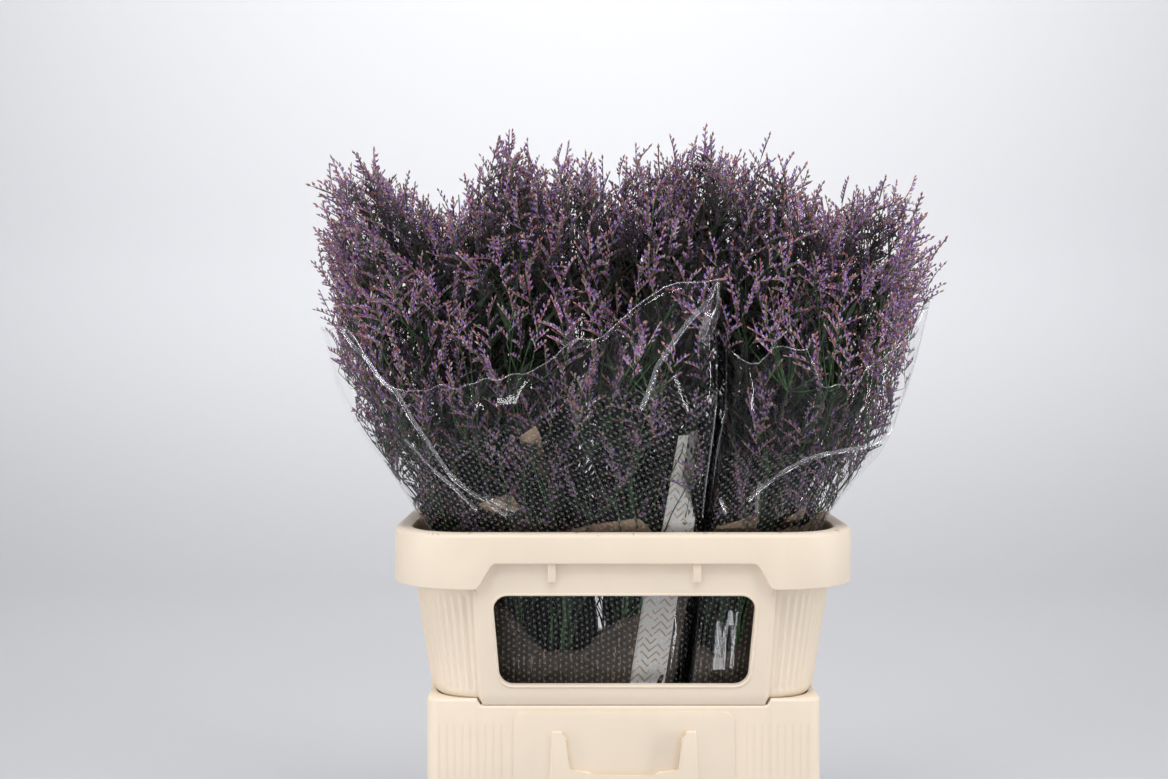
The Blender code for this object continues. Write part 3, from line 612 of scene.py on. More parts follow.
def mesh_object(name, points, triangles, materials, slots=None, smooth=False):
    """An object from arrays of points and triangles."""
    mesh = bpy.data.meshes.new(name)
    triangles = np.asarray(triangles, np.int32)
    mesh.vertices.add(len(points))
    mesh.vertices.foreach_set("co", np.asarray(points, np.float32).ravel())
    mesh.loops.add(triangles.size)
    mesh.loops.foreach_set("vertex_index", triangles.ravel())
    mesh.polygons.add(len(triangles))
    mesh.polygons.foreach_set("loop_start", np.arange(0, triangles.size, 3, dtype=np.int32))
    if slots is not None:
        mesh.polygons.foreach_set("material_index", np.asarray(slots, np.int32))
    mesh.polygons.foreach_set("use_smooth", np.full(len(triangles), smooth))
    mesh.update(calc_edges=True)
    for material in materials:
        mesh.materials.append(material)
    return add_object(name, mesh)


def store_values(mesh, name, values):
    """Keeps one value for each point of a mesh, for its material to read."""
    mesh.attributes.new(name, "FLOAT", "POINT").data.foreach_set("value", values.astype(np.float32))


def store_chart(mesh, name, chart):
    """Keeps a flat map of a mesh, one place for each corner of its triangles."""
    mesh.uv_layers.new(name=name).data.foreach_set("uv", chart.astype(np.float32).ravel())


def object_from(bm, name, material, smooth_angle=35):
    """An object from a bmesh, smooth but for its sharp edges."""
    bmesh.ops.recalc_face_normals(bm, faces=bm.faces)
    if bm.calc_volume(signed=True) < 0:
        bmesh.ops.reverse_faces(bm, faces=bm.faces)
    mesh = bpy.data.meshes.new(name)
    bm.to_mesh(mesh)
    bm.free()
    mesh.materials.append(material)
    mesh.shade_smooth()
    mesh.set_sharp_from_angle(angle=math.radians(smooth_angle))
    return add_object(name, mesh)


def join_meshes(parts):
    """Joins (points, triangles, slots) parts into one set of arrays."""
    points, triangles, slots, count = [], [], [], 0
    for part_points, part_triangles, part_slots in parts:
        points.append(part_points)
        triangles.append(part_triangles + count)
        slots.append(np.broadcast_to(part_slots, len(part_triangles)))
        count += len(part_points)
    return np.concatenate(points), np.concatenate(triangles), np.concatenate(slots)


def join_objects(objects, name):
    """Joins objects into one."""
    first = objects[0]
    with bpy.context.temp_override(active_object=first, object=first, selected_objects=objects,
                                   selected_editable_objects=objects):
        bpy.ops.object.join()
    first.name = name
    return first


def loft(rings, capped=False):
    """Rings of points joined in order: the last joins the first, or both ends are capped."""
    bm = bmesh.new()
    rows = [[bm.verts.new(point) for point in ring] for ring in rings]
    count = len(rows[0])
    pairs = list(zip(rows, rows[1:])) + ([] if capped else [(rows[-1], rows[0])])
    for lower, upper in pairs:
        for k in range(count):
            after = (k + 1) % count
            bm.faces.new((lower[k], lower[after], upper[after], upper[k]))
    if capped:
        bm.faces.new(rows[0][::-1])
        bm.faces.new(rows[-1])
    return bm


def round_edges(bm, radius):
    """Rounds every edge of a bmesh."""
    bmesh.ops.bevel(bm, geom=list(bm.edges), offset=radius, segments=3, profile=0.5, affect="EDGES",
                    clamp_overlap=True)


def prism(outline, low, high, rounding=0.0):
    """An upright outline in X and Z, carried along Y, with rounded edges."""
    bm = loft([[(x, y, z) for x, z in outline] for y in (low, high)], capped=True)
    if rounding:
        round_edges(bm, rounding)
    return bm


def grid_triangles(rows, columns, wraps):
    """Two triangles for each cell of a grid of points; its columns may wrap round."""
    last = columns if wraps else columns - 1
    row, column = np.meshgrid(np.arange(rows - 1), np.arange(last), indexing="ij")
    a, b = row * columns + column, row * columns + (column + 1) % columns
    return np.stack([a, b, b + columns, a, b + columns, a + columns], -1).reshape(-1, 3)


def tube_triangles(steps, sides):
    """The wall and the two ends of one closed tube."""
    fan = np.array([(0, k + 1, k) for k in range(1, sides - 1)])
    return np.concatenate([grid_triangles(steps, sides, True), fan, fan[:, ::-1] + (steps - 1) * sides])


def repeated(triangles, points_each, count):
    """The same triangles for each of many copies of a few points."""
    return (triangles[None] + (np.arange(count) * points_each)[:, None, None]).reshape(-1, 3)


def tubes(paths, radii, sides):
    """Closed tubes along many paths at once, as points and triangles."""
    paths = np.asarray(paths, float)
    count, steps = paths.shape[:2]
    radii = np.broadcast_to(radii, (count, steps))
    ahead = unit(np.gradient(paths, axis=1))
    overall = unit(paths[:, -1] - paths[:, 0])
    upright = np.abs(overall[:, 2:3]) > 0.75
    reference = np.where(upright, [[1.0, 0.0, 0.0]], [[0.0, 0.0, 1.0]])
    side = unit(np.cross(ahead, reference[:, None, :]))[:, :, None, :]
    upper = np.cross(ahead, side[:, :, 0])[:, :, None, :]
    turns = TAU * np.arange(sides)[:, None] / sides
    around = np.cos(turns) * side + np.sin(turns) * upper
    points = paths[:, :, None, :] + radii[:, :, None, None] * around
    return points.reshape(-1, 3), repeated(tube_triangles(steps, sides), steps * sides, count)


def grid_shell(outer, inner, wraps):
    """A closed thin shell from two grids of points; the columns may wrap round."""
    rows, columns = outer.shape[:2]
    half = rows * columns
    face = grid_triangles(rows, columns, wraps)
    parts = [face, face[:, ::-1] + half]

    def hem(first, second, turned):
        strip = np.stack([first, second, second + half, first, second + half, first + half], -1)
        parts.append(strip.reshape(-1, 3)[:, ::-1] if turned else strip.reshape(-1, 3))

    along = np.arange(columns if wraps else columns - 1)
    for line, turned in ((0, False), (rows - 1, True)):
        hem(line * columns + along, line * columns + (along + 1) % columns, turned)
    if not wraps:
        upward = np.arange(rows - 1) * columns
        for line, turned in ((0, True), (columns - 1, False)):
            hem(upward + line, upward + line + columns, turned)
    return np.concatenate([outer.reshape(-1, 3), inner.reshape(-1, 3)]), np.concatenate(parts)


def ribbon(points, outward, width, thickness):
    """A rounded fold along a path, lying across the given outward directions."""
    across = unit(np.cross(unit(np.gradient(points, axis=0)), outward))
    section = ((-0.5, 0), (0.5, 0), (0.40, 0.55), (0.22, 0.88), (0, 1), (-0.22, 0.88), (-0.40, 0.55))
    rings = [points + across * width * side + outward * thickness * lift for side, lift in section]
    return np.stack(rings, axis=1).reshape(-1, 3), tube_triangles(len(points), len(section))


# Materials


class Wiring:
    """Adds nodes to one node tree and wires them up."""

    def __init__(self, tree):
        self.tree = tree

    def add(self, kind, inputs=None, **settings):
        made = self.tree.nodes.new(kind)
        for key, value in settings.items():
            setattr(made, key, value)
        for key, value in (inputs or {}).items():
            self.feed(made.inputs[key], value)
        return made

    def feed(self, socket, value):
        if isinstance(value, bpy.types.NodeSocket):
            self.tree.links.new(value, socket)
        else:
            socket.default_value = value

    def math(self, operation, first, second=0.0, clamp=False):
        return self.add("ShaderNodeMath", {0: first, 1: second}, operation=operation,
                        use_clamp=clamp).outputs[0]

    def mix(self, factor, first, second):
        return self.add("ShaderNodeMix", {0: factor, 6: first, 7: second}, data_type="RGBA").outputs[2]

    def between(self, value, low, high, to_low=0.0, to_high=1.0):
        inputs = {"Value": value, "From Min": low, "From Max": high, "To Min": to_low, "To Max": to_high}
        return self.add("ShaderNodeMapRange", inputs, interpolation_type="SMOOTHSTEP").outputs["Result"]

    def times(self, first, second):
        return self.math("MULTIPLY", first, second)

    def group(self, tree, **inputs):
        made = self.add("ShaderNodeGroup", node_tree=tree)
        for key, value in inputs.items():
            self.feed(made.inputs[key], value)
        return made.outputs

    def mottle(self, scale, low, high, stretch=1.0):
        return self.group(mottle_group(), Scale=scale, Low=low, High=high, Stretch=stretch)["Mask"]

    def crinkle(self, scale, sharpness):
        return self.group(crinkle_group(), Scale=scale, Sharpness=sharpness)

    def bump(self, strength, distance, height):
        inputs = {"Strength": strength, "Distance": distance, "Height": height}
        return self.add("ShaderNodeBump", inputs).outputs[0]

    def height(self):
        """The height of each point, in the object's own space."""
        place = self.add("ShaderNodeTexCoord").outputs["Object"]
        return self.add("ShaderNodeSeparateXYZ", {0: place}).outputs["Z"]

    def stored(self, name):
        """A value that the mesh keeps for each of its points."""
        return self.add("ShaderNodeAttribute", attribute_name=name).outputs["Fac"]

    def surface(self, shader, base, rough, normal):
        """Feeds a shader's colour, roughness and normal."""
        for name, value in (("Base Color", base), ("Roughness", rough), ("Normal", normal)):
            self.feed(shader.inputs[name], value)


def new_group(name, inputs, outputs):
    """A shader node group with named sockets: its wiring, its inputs and its output node."""
    tree = bpy.data.node_groups.new(name, "ShaderNodeTree")
    for label, default in inputs:
        kind = "NodeSocketVector" if isinstance(default, tuple) else "NodeSocketFloat"
        tree.interface.new_socket(label, in_out="INPUT", socket_type=kind).default_value = default
    for label in outputs:
        tree.interface.new_socket(label, in_out="OUTPUT", socket_type="NodeSocketFloat")
    wiring = Wiring(tree)
    return wiring, wiring.add("NodeGroupInput").outputs, wiring.add("NodeGroupOutput").inputs


def mottle_group():
    """Soft or sharp patches in the object's own space: a mask from a noise."""
    found = bpy.data.node_groups.get("mottle")
    if found:
        return found
    inputs = (("Scale", 40.0), ("Low", 0.4), ("High", 0.6), ("Stretch", 1.0))
    w, given, out = new_group("mottle", inputs, ("Mask",))
    place = w.add("ShaderNodeTexCoord").outputs["Object"]
    stretch = w.add("ShaderNodeCombineXYZ", {"X": 1.0, "Y": 1.0, "Z": given["Stretch"]}).outputs[0]
    place = w.add("ShaderNodeVectorMath", {0: place, 1: stretch}, operation="MULTIPLY").outputs[0]
    inputs = {"Vector": place, "Scale": given["Scale"], "Detail": 3.0, "Roughness": 0.6}
    noise = w.add("ShaderNodeTexNoise", inputs).outputs["Fac"]
    w.feed(out["Mask"], w.between(noise, given["Low"], given["High"]))
    return w.tree


def crinkle_group():
    """The height of a crumpled sheet: creases over a soft noise."""
    found = bpy.data.node_groups.get("crinkle")
    if found:
        return found
    w, given, out = new_group("crinkle", (("Scale", 30.0), ("Sharpness", 0.5)), ("Height", "Crease"))
    place = w.add("ShaderNodeTexCoord").outputs["Object"]
    inputs = {"Vector": place, "Scale": given["Scale"], "Detail": 2.0}
    bent = w.add("ShaderNodeTexNoise", inputs).outputs["Fac"]
    shifted = w.add("ShaderNodeVectorMath", {0: place, 1: (0.31, 0.17, 0.73)},
                    operation="ADD").outputs[0]
    inputs = {"Vector": shifted, "Scale": w.times(given["Scale"], 0.6)}
    cells = w.add("ShaderNodeTexVoronoi", inputs, feature="DISTANCE_TO_EDGE").outputs["Distance"]
    crease = w.between(cells, 0.0, 0.10, 1.0, 0.0)
    w.feed(out["Crease"], crease)
    w.feed(out["Height"], w.math("ADD", bent, w.times(crease, given["Sharpness"])))
    return w.tree


def holes_group():
    """A staggered field of small round holes with raised rims, on a map in metres."""
    found = bpy.data.node_groups.get("holes")
    if found:
        return found
    inputs = (("Map", (0.0, 0.0, 0.0)), ("Pitch", 0.006), ("Inner", 0.0006), ("Outer", 0.0010))
    w, given, out = new_group("holes", inputs, ("Rim",))
    parts = w.add("ShaderNodeSeparateXYZ", {0: given["Map"]}).outputs
    masks = []
    for shift in (0.0, 0.5):
        squares = []
        for axis, stretch in (("X", HOLE_STRETCH), ("Y", 1.0)):
            pitch = w.times(given["Pitch"], stretch)
            part = w.math("FRACT", w.math("ADD", w.math("DIVIDE", parts[axis], pitch), shift + 100.0))
            squares.append(w.math("POWER", w.times(w.math("SUBTRACT", part, 0.5), pitch), 2.0))
        distance = w.math("SQRT", w.math("ADD", *squares))
        rim = w.between(distance, w.times(given["Outer"], 1.2), given["Outer"])
        hole = w.between(distance, given["Inner"], w.times(given["Inner"], 0.5))
        masks.append(w.math("SUBTRACT", rim, w.times(hole, 0.75)))
    w.feed(out["Rim"], w.math("MAXIMUM", *masks))
    return w.tree


def new_material(name):
    """A material, its wiring and its main shader."""
    material = bpy.data.materials.new(name)
    material.use_nodes = True
    return material, Wiring(material.node_tree), material.node_tree.nodes["Principled BSDF"]


def shade(rgb, by=1.0):
    """A colour with its alpha, lighter or darker."""
    return (*[min(1.0, part * by) for part in rgb], 1.0)


def plastic_material():
    """Cream moulded plastic: faint mottling, dirt specks, upright scuffs and a soft moulded grain."""
    found = bpy.data.materials.get("cream_moulded_plastic")
    if found:
        return found
    look = bpy.context.scene.statice_bucket
    material, w, shader = new_material("cream_moulded_plastic")
    soft = w.mottle(9.0, 0.30, 0.72)
    base = w.mix(soft, shade(look.plastic, 0.965), shade(look.plastic, 1.02))
    scuffs = w.mottle(55.0, 0.60, 0.78, 0.10)
    base = w.mix(w.times(scuffs, 0.16 * look.wear), base, shade(look.plastic, 0.72))
    patches = w.mottle(14.0, 0.52, 0.70)
    brink = w.between(w.height(), COLLAR_TOP - 0.0035, COLLAR_TOP - 0.0008)
    specks = w.times(w.times(w.mottle(240.0, 0.735, 0.765), patches), 1.6 * look.wear)
    chips = w.times(w.times(w.mottle(85.0, 0.62, 0.66), brink), 1.2 * look.wear)
    scratches = w.times(w.times(w.mottle(170.0, 0.70, 0.76, 0.35), patches), 0.5 * look.wear)
    marks = w.math("MAXIMUM", w.math("MAXIMUM", specks, chips), scratches)
    base = w.mix(marks, base, shade(look.dirt))
    w.surface(shader, base, w.between(soft, 0.0, 1.0, 0.46, 0.56),
              w.bump(0.12, 0.0002, w.mottle(900.0, 0.2, 0.8)))
    return material


def film_material(name, body, edge_gain, rough, crumple):
    """Clear film: mirror-like where it glances, clear where it is seen square on, with small holes."""
    look = bpy.context.scene.statice_film
    material, w, shader = new_material(name)
    crinkle = w.crinkle(11.0, 0.16)
    normal = w.bump(crumple, 0.0050, crinkle["Height"])
    chart = w.add("ShaderNodeUVMap", uv_map="film_map").outputs[0]
    rims = w.group(holes_group(), Map=chart, Pitch=look.hole_pitch)["Rim"]
    dots = w.math("MULTIPLY", rims, w.stored("holed"), clamp=True)
    glance = w.add("ShaderNodeFresnel", {"IOR": 1.5, "Normal": normal}).outputs[0]
    alpha = w.math("ADD", w.times(glance, edge_gain), body)
    alpha = w.math("ADD", alpha, w.times(crinkle["Crease"], 0.004))
    alpha = w.math("MINIMUM", alpha, 0.55)
    alpha = w.math("ADD", alpha, w.times(dots, 0.24), clamp=True)
    behind = w.add("ShaderNodeNewGeometry").outputs["Backfacing"]
    w.feed(shader.inputs["Alpha"], w.times(alpha, w.math("SUBTRACT", 1.0, behind)))
    w.feed(shader.inputs["Metallic"], w.math("SUBTRACT", 1.0, dots))
    w.surface(shader, w.mix(dots, FILM_SHINE, RIM_GREY), w.between(dots, 0.0, 1.0, rough, 0.5), normal)
    return material


def kraft_material():
    """Brown wrapping paper with fibres and creases, with painted shade that makes it very dark inside
    the collar.
    """
    look = bpy.context.scene.statice_paper
    material, w, shader = new_material("brown_kraft_paper")
    patches = w.mottle(16.0, 0.40, 0.62)
    # Painted shade: below the collar's rim the paper is darkened to a small share of its colour
    painted_shade_inside = w.mix(patches, shade(look.kraft, 0.15), shade(look.kraft, 0.08))
    open_paper = w.mix(patches, shade(look.kraft), shade(look.kraft, 0.62))
    base = w.mix(w.between(w.height(), 0.42, 0.50), painted_shade_inside, open_paper)
    fibres = w.mottle(420.0, 0.56, 0.70, 0.18)
    base = w.mix(w.times(fibres, 0.35), base, shade(look.kraft, 1.45))
    rough = w.between(patches, 0.0, 1.0, 0.88, 0.70)
    w.surface(shader, base, rough, w.bump(0.6, 0.002, w.crinkle(34.0, 0.6)["Height"]))
    return material


def strip_material():
    """White paper greyed with painted shade, printed with rows of broken chevrons."""
    look = bpy.context.scene.statice_paper
    material, w, shader = new_material("printed_paper_strip")
    chart = w.add("ShaderNodeUVMap", uv_map="strip_map").outputs[0]
    parts = w.add("ShaderNodeSeparateXYZ", {0: chart}).outputs
    across = w.math("FRACT", w.math("ADD", w.math("DIVIDE", parts["X"], CHEVRON_WIDTH), 50.0))
    slant = w.times(w.math("ABSOLUTE", w.math("SUBTRACT", across, 0.5)), 1.9)
    along = w.math("FRACT", w.math("ADD", w.math("DIVIDE", parts["Y"], CHEVRON_PITCH), slant))
    line = w.between(w.math("ABSOLUTE", w.math("SUBTRACT", along, 0.5)), 0.18, 0.11)
    ink = w.times(w.times(line, w.mottle(105.0, 0.44, 0.49)), 0.95)
    # Painted shade: the grey ground stands in for the shade on the white paper
    paper = w.mix(w.mottle(60.0, 0.3, 0.7), shade(look.strip), shade(look.strip, 0.93))
    base, rough = w.mix(ink, paper, shade(look.ink)), w.between(ink, 0.0, 1.0, 0.55, 0.38)
    w.surface(shader, base, rough, w.bump(0.3, 0.0015, w.crinkle(22.0, 0.4)["Height"]))
    return material


def rubber_material():
    """Tan elastic, dusty, with fine lines round it."""
    look = bpy.context.scene.statice_paper
    material, w, shader = new_material("tan_elastic_band")
    dust = w.mottle(180.0, 0.45, 0.75)
    base = w.mix(dust, shade(look.rubber), shade(look.rubber, 1.35))
    lines = w.mottle(160.0, 0.3, 0.7, 9.0)
    w.surface(shader, base, w.between(dust, 0.0, 1.0, 0.55, 0.8), w.bump(0.4, 0.0004, lines))
    return material


def plant_material(name, main, second, third, fine_scale, rough):
    """Dry plant stuff: three colours in patches from whole sprays down to single florets, with painted
    shade in dark specks and deep in the crown.
    """
    material, w, shader = new_material(name)
    spray = w.mottle(26.0, 0.42, 0.60)
    floret = w.mottle(fine_scale, 0.44, 0.60)
    tint = w.mix(w.times(floret, 0.85), shade(main), shade(second))
    tint = w.mix(w.times(w.times(spray, floret), 0.8), tint, shade(third))
    # Painted shade: dark specks at floret scale, mixed towards PLANT_SHADOW
    dark = w.mottle(fine_scale * 1.9, 0.34, 0.56)
    tint = w.mix(dark, w.mix(0.60, tint, PLANT_SHADOW), tint)
    # Painted shade: darkens towards CROWN_SHADOW where the point lies deep in the crown or under its
    # overhang
    tint = w.mix(w.times(w.between(w.stored("inner"), 0.0, 1.0), 0.86), tint, CROWN_SHADOW)
    shader.inputs["Specular IOR Level"].default_value = 0.3
    w.surface(shader, tint, w.between(floret, 0.0, 1.0, rough, rough + 0.12), w.bump(0.5, 0.0003, dark))
    return material


def plant_materials():
    """Stem, calyx, petals and leaves, in that order."""
    look = bpy.context.scene.statice_flowers
    green = shade(look.stem, 1.9)[:3]
    return [
        plant_material("statice_stems", look.stem, green, shade(look.stem, 2.6)[:3], 160.0, 0.60),
        plant_material("statice_calyx", look.calyx, look.pale_calyx, green, 330.0, 0.75),
        plant_material("statice_petals", look.petal, look.pale_petal, look.calyx, 300.0, 0.75),
        plant_material("statice_leaves", look.leaf, look.stem, look.stem, 120.0, 0.55),
    ]


# Bucket and collar


def sides_of(half, panel):
    """The four sides in turn: outward direction, direction of travel, distance and half width."""
    return (
        ((0, -1), (1, 0), half[1], half[0], panel[0]),
        ((1, 0), (0, 1), half[0], half[1], panel[1]),
        ((0, 1), (-1, 0), half[1], half[0], panel[0]),
        ((-1, 0), (0, -1), half[0], half[1], panel[1]),
    )


def stations(half, corner, panel, shares, arc_steps):
    """Round a rounded rectangle: (x, y, outward, share of the panel, share of the corner arc)."""
    found = []
    for out, along, distance, side_half, panel_half in sides_of(half, panel):
        for share in shares:
            x = out[0] * distance + along[0] * share * panel_half
            y = out[1] * distance + along[1] * share * panel_half
            found.append((x, y, out, share, None))
        centre = [out[k] * (distance - corner) + along[k] * (side_half - corner) for k in (0, 1)]
        for step in range(arc_steps + 1):
            turn = math.pi / 2 * step / arc_steps
            way = [out[k] * math.cos(turn) + along[k] * math.sin(turn) for k in (0, 1)]
            x, y = [centre[k] + way[k] * corner for k in (0, 1)]
            found.append((x, y, way, None, step / arc_steps))
    return found


def panel_push(share):
    """How proud the panel stands at a share of its width, rounded where it meets the corner."""
    return 0.0 if share is None else eased((1.033 - abs(share)) / 0.030)


def skirt_low(share):
    """The height of the collar's skirt: shallow in the middle of a side, deep at the corners."""
    deep = 1.0 if share is None else eased((abs(share) - 0.86) / 0.14)
    return COLLAR_TOP - RIM_DEPTH_MIDDLE - (RIM_DEPTH_CORNER - RIM_DEPTH_MIDDLE) * deep


def seat_height(share):
    """The panels hang a little lower than the fluted corners."""
    return COLLAR_SEAT - NOTCH_DEPTH * panel_push(share)


def inset(half, by):
    """Half sizes, drawn in all round."""
    return (half[0] - by, half[1] - by)


def between_pairs(low, high, share):
    """A pair of sizes part of the way from one pair to another."""
    return [a + (b - a) * share for a, b in zip(low, high)]


def wall_share(height):
    """How far up the collar's wall a height is."""
    return (height - COLLAR_SEAT) / (COLLAR_TOP - COLLAR_SEAT)


def wall_half(height):
    """The half sizes of the collar's wall at a height."""
    return between_pairs(WALL_SEAT_HALF, WALL_TOP_HALF, wall_share(height))


def collar_ring(half, corner, height, panel=PANEL_TOP, proud=0.0, flute=0.0):
    """One ring of the collar; the height may depend on the station."""
    points = []
    for x, y, out, share, arc in stations(half, corner, panel, COLLAR_SHARES, COLLAR_ARC):
        push = proud * panel_push(share)
        if flute and arc is not None and FLUTE_MARGIN <= arc <= 1 - FLUTE_MARGIN:
            turn = TAU * FLUTES * (arc - FLUTE_MARGIN) / (1 - 2 * FLUTE_MARGIN)
            push -= flute * (0.5 - 0.5 * math.cos(turn)) ** 0.7
        z = height(share) if callable(height) else height
        points.append((x + out[0] * push, y + out[1] * push, z))
    return points


def skirt_root():
    """The line where the skirt leaves the wall inside."""
    points = []
    places = stations(RIM_HALF, RIM_CORNER, PANEL_TOP, COLLAR_SHARES, COLLAR_ARC)
    for index, (_, _, _, share, _) in enumerate(places):
        height = COLLAR_TOP - 0.006 if share is None or abs(share) > 1 else skirt_low(share) + 0.002
        points.append(collar_ring(wall_half(height), WALL_CORNER[1], height, proud=PANEL_PROUD)[index])
    return points


def quarter_turn(radius, steps):
    """Points round a rounded edge, from its flat top outwards: how far in, and how far down."""
    turns = [math.pi / 2 * step / steps for step in range(steps + 1)]
    return [(radius * (1 - math.sin(turn)), radius * (1 - math.cos(turn))) for turn in turns]


def collar_rings(flute_depth):
    """The collar's section as rings: up its inside, over the rim, round the skirt and down its wall."""
    rings = [collar_ring((0.1775, 0.1275), 0.037, PLUG_BOTTOM, PANEL_SEAT)]
    for out, drop in ((0.0, 0.004), (0.0004, 0.0018), (0.0016, 0.0004), (0.0032, 0.0)):
        rings.append(collar_ring(inset(LIP_HALF, -out), LIP_CORNER, COLLAR_TOP - drop))
    rings.append(collar_ring(inset(RIM_HALF, 0.0072), RIM_CORNER - 0.004, COLLAR_TOP))
    for by, drop in quarter_turn(RIM_ROUNDING, 5)[1:]:
        rings.append(collar_ring(inset(RIM_HALF, by), RIM_CORNER - by * 0.6, COLLAR_TOP - drop))
    for by, lift, tighter in ((0.0, 0.0014, 0.0), (0.0003, 0.0004, 0.0), (0.0012, 0.0, 0.001),
                              (0.0026, 0.0005, 0.002), (0.0030, 0.0018, 0.002)):
        rings.append(collar_ring(inset(RIM_HALF, by), RIM_CORNER - tighter,
                                 lambda share, lift=lift: skirt_low(share) + lift))
    rings.append(skirt_root())
    low, high = FLUTE_HEIGHTS
    for height, flute in ((high + 0.003, 0.0), (high, flute_depth),
                          (low, flute_depth), (low - 0.003, 0.0)):
        rise = wall_share(height)
        panel = between_pairs(PANEL_SEAT, PANEL_TOP, rise)
        corner = WALL_CORNER[0] + (WALL_CORNER[1] - WALL_CORNER[0]) * rise
        rings.append(collar_ring(wall_half(height), corner, height, panel, PANEL_PROUD, flute))
    rings.append(collar_ring(WALL_SEAT_HALF, WALL_CORNER[0], lambda share: seat_height(share) + 0.0015,
                             PANEL_SEAT, PANEL_PROUD))
    rings.append(collar_ring(inset(WALL_SEAT_HALF, 0.0012), 0.044, seat_height, PANEL_SEAT, PANEL_PROUD))
    rings.append(collar_ring((0.1812, 0.1312), 0.041, seat_height, PANEL_SEAT))
    rings.append(collar_ring((0.1805, 0.1305), 0.0405, PLUG_BOTTOM, PANEL_SEAT))
    return rings


def collar_body(material):
    """The collar with its lip, deep skirt, fluted corners and proud panels, and its windows cut out."""
    look = bpy.context.scene.statice_bucket
    body = object_from(loft(collar_rings(look.flute_depth)), "collar_body", material)
    cutter = object_from(prism(window_outline(0.0), -0.2, 0.2), "window_cutter", material)
    cutter.data.shade_flat()
    modifier = body.modifiers.new("window", "BOOLEAN")
    modifier.operation = "DIFFERENCE"
    modifier.object = cutter
    modifier.solver = "EXACT"
    graph = bpy.context.evaluated_depsgraph_get()
    made = bpy.data.meshes.new_from_object(body.evaluated_get(graph))
    body.modifiers.clear()
    body.data = made
    made.set_sharp_from_angle(angle=math.radians(35))
    bpy.data.objects.remove(cutter)
    return body


def rounded_corner(x, z, radius, turn, steps):
    """Points round a corner whose arc has its middle at (x, z), from a number of quarter turns on."""
    angles = [math.pi / 2 * (turn + step / steps) for step in range(steps + 1)]
    return [(x + radius * math.cos(angle), z + radius * math.sin(angle)) for angle in angles]


def window_outline(grow):
    """The window's outline in X and Z, a little narrower at its foot."""
    low, high = WINDOW_HEIGHTS[0] - grow, WINDOW_HEIGHTS[1] + grow
    narrow, wide = WINDOW_HALF[0] + grow, WINDOW_HALF[1] + grow
    radius = WINDOW_CORNER + grow
    outline = []
    for x, z, turn in ((wide, high, 0), (-wide, high, 1), (-narrow, low, 2), (narrow, low, 3)):
        middle = (x - math.copysign(radius, x), z - radius if z == high else z + radius)
        outline += rounded_corner(*middle, radius, turn, 10)
    return outline


def window_bead(side, material):
    """The rounded lip that runs round a window on the outside of its panel."""
    rings = []
    for grow, lift in ((-0.0004, -0.0030), (-0.0004, 0.0002), (0.0004, 0.0008), (0.0014, 0.0008),
                       (0.0024, 0.0002), (0.0026, -0.0030)):
        outline = window_outline(grow)
        rings.append([(x, side * (wall_half(z)[1] + PANEL_PROUD + lift), z) for x, z in outline])
    return object_from(loft(rings), "window_bead", material, 60)


def collar_tab(x, side, material):
    """A small rounded peg under the rim, on a shallow plate."""
    under_rim = COLLAR_TOP - RIM_DEPTH_MIDDLE
    peg = (0.0038, 1.0, 0.156, 0.1640, 0.1605, 0.019, 0.0013)
    plate = (0.0100, 0.72, 0.154, 0.1592, 0.1566, 0.018, 0.0006)
    made = []
    for half, narrowed, root, upper, lower, end, rounding in (peg, plate):
        rings = []
        for wide, inner, outer, z in ((half, root, upper, under_rim + 0.003),
                                      (half * narrowed, root - 0.004, lower, under_rim - end)):
            corners = ((-wide, inner), (wide, inner), (wide, outer), (-wide, outer))
            rings.append([(x + dx, side * y, z) for dx, y in corners])
        bm = loft(rings, capped=True)
        round_edges(bm, rounding)
        made.append(object_from(bm, "tab", material, 50))
    return made


def build_collar():
    """The collar with its window beads and its tabs."""
    material = plastic_material()
    parts = [collar_body(material)]
    for side in (-1, 1):
        parts.append(window_bead(side, material))
        for x in (-TAB_X, TAB_X):
            parts += collar_tab(x, side, material)
    finish_piece(join_objects(parts, "collar_dressed"), "cream_plastic", "collar")


def rim_notch(share):
    """The bucket's rim dips where the collar's panels come down."""
    dip = 0.0 if share is None else eased((1.050 - abs(share)) / 0.030)
    return BUCKET_TOP - NOTCH_DEPTH * dip


def bucket_ring(half, corner, height, panel=PANEL_SEAT, drop=0.0):
    """One ring of the bucket; the height may depend on the station."""
    places = stations(half, corner, panel, BUCKET_SHARES, BUCKET_ARC)
    return [(x, y, height(share) - drop if callable(height) else height) for x, y, _, share, _ in places]


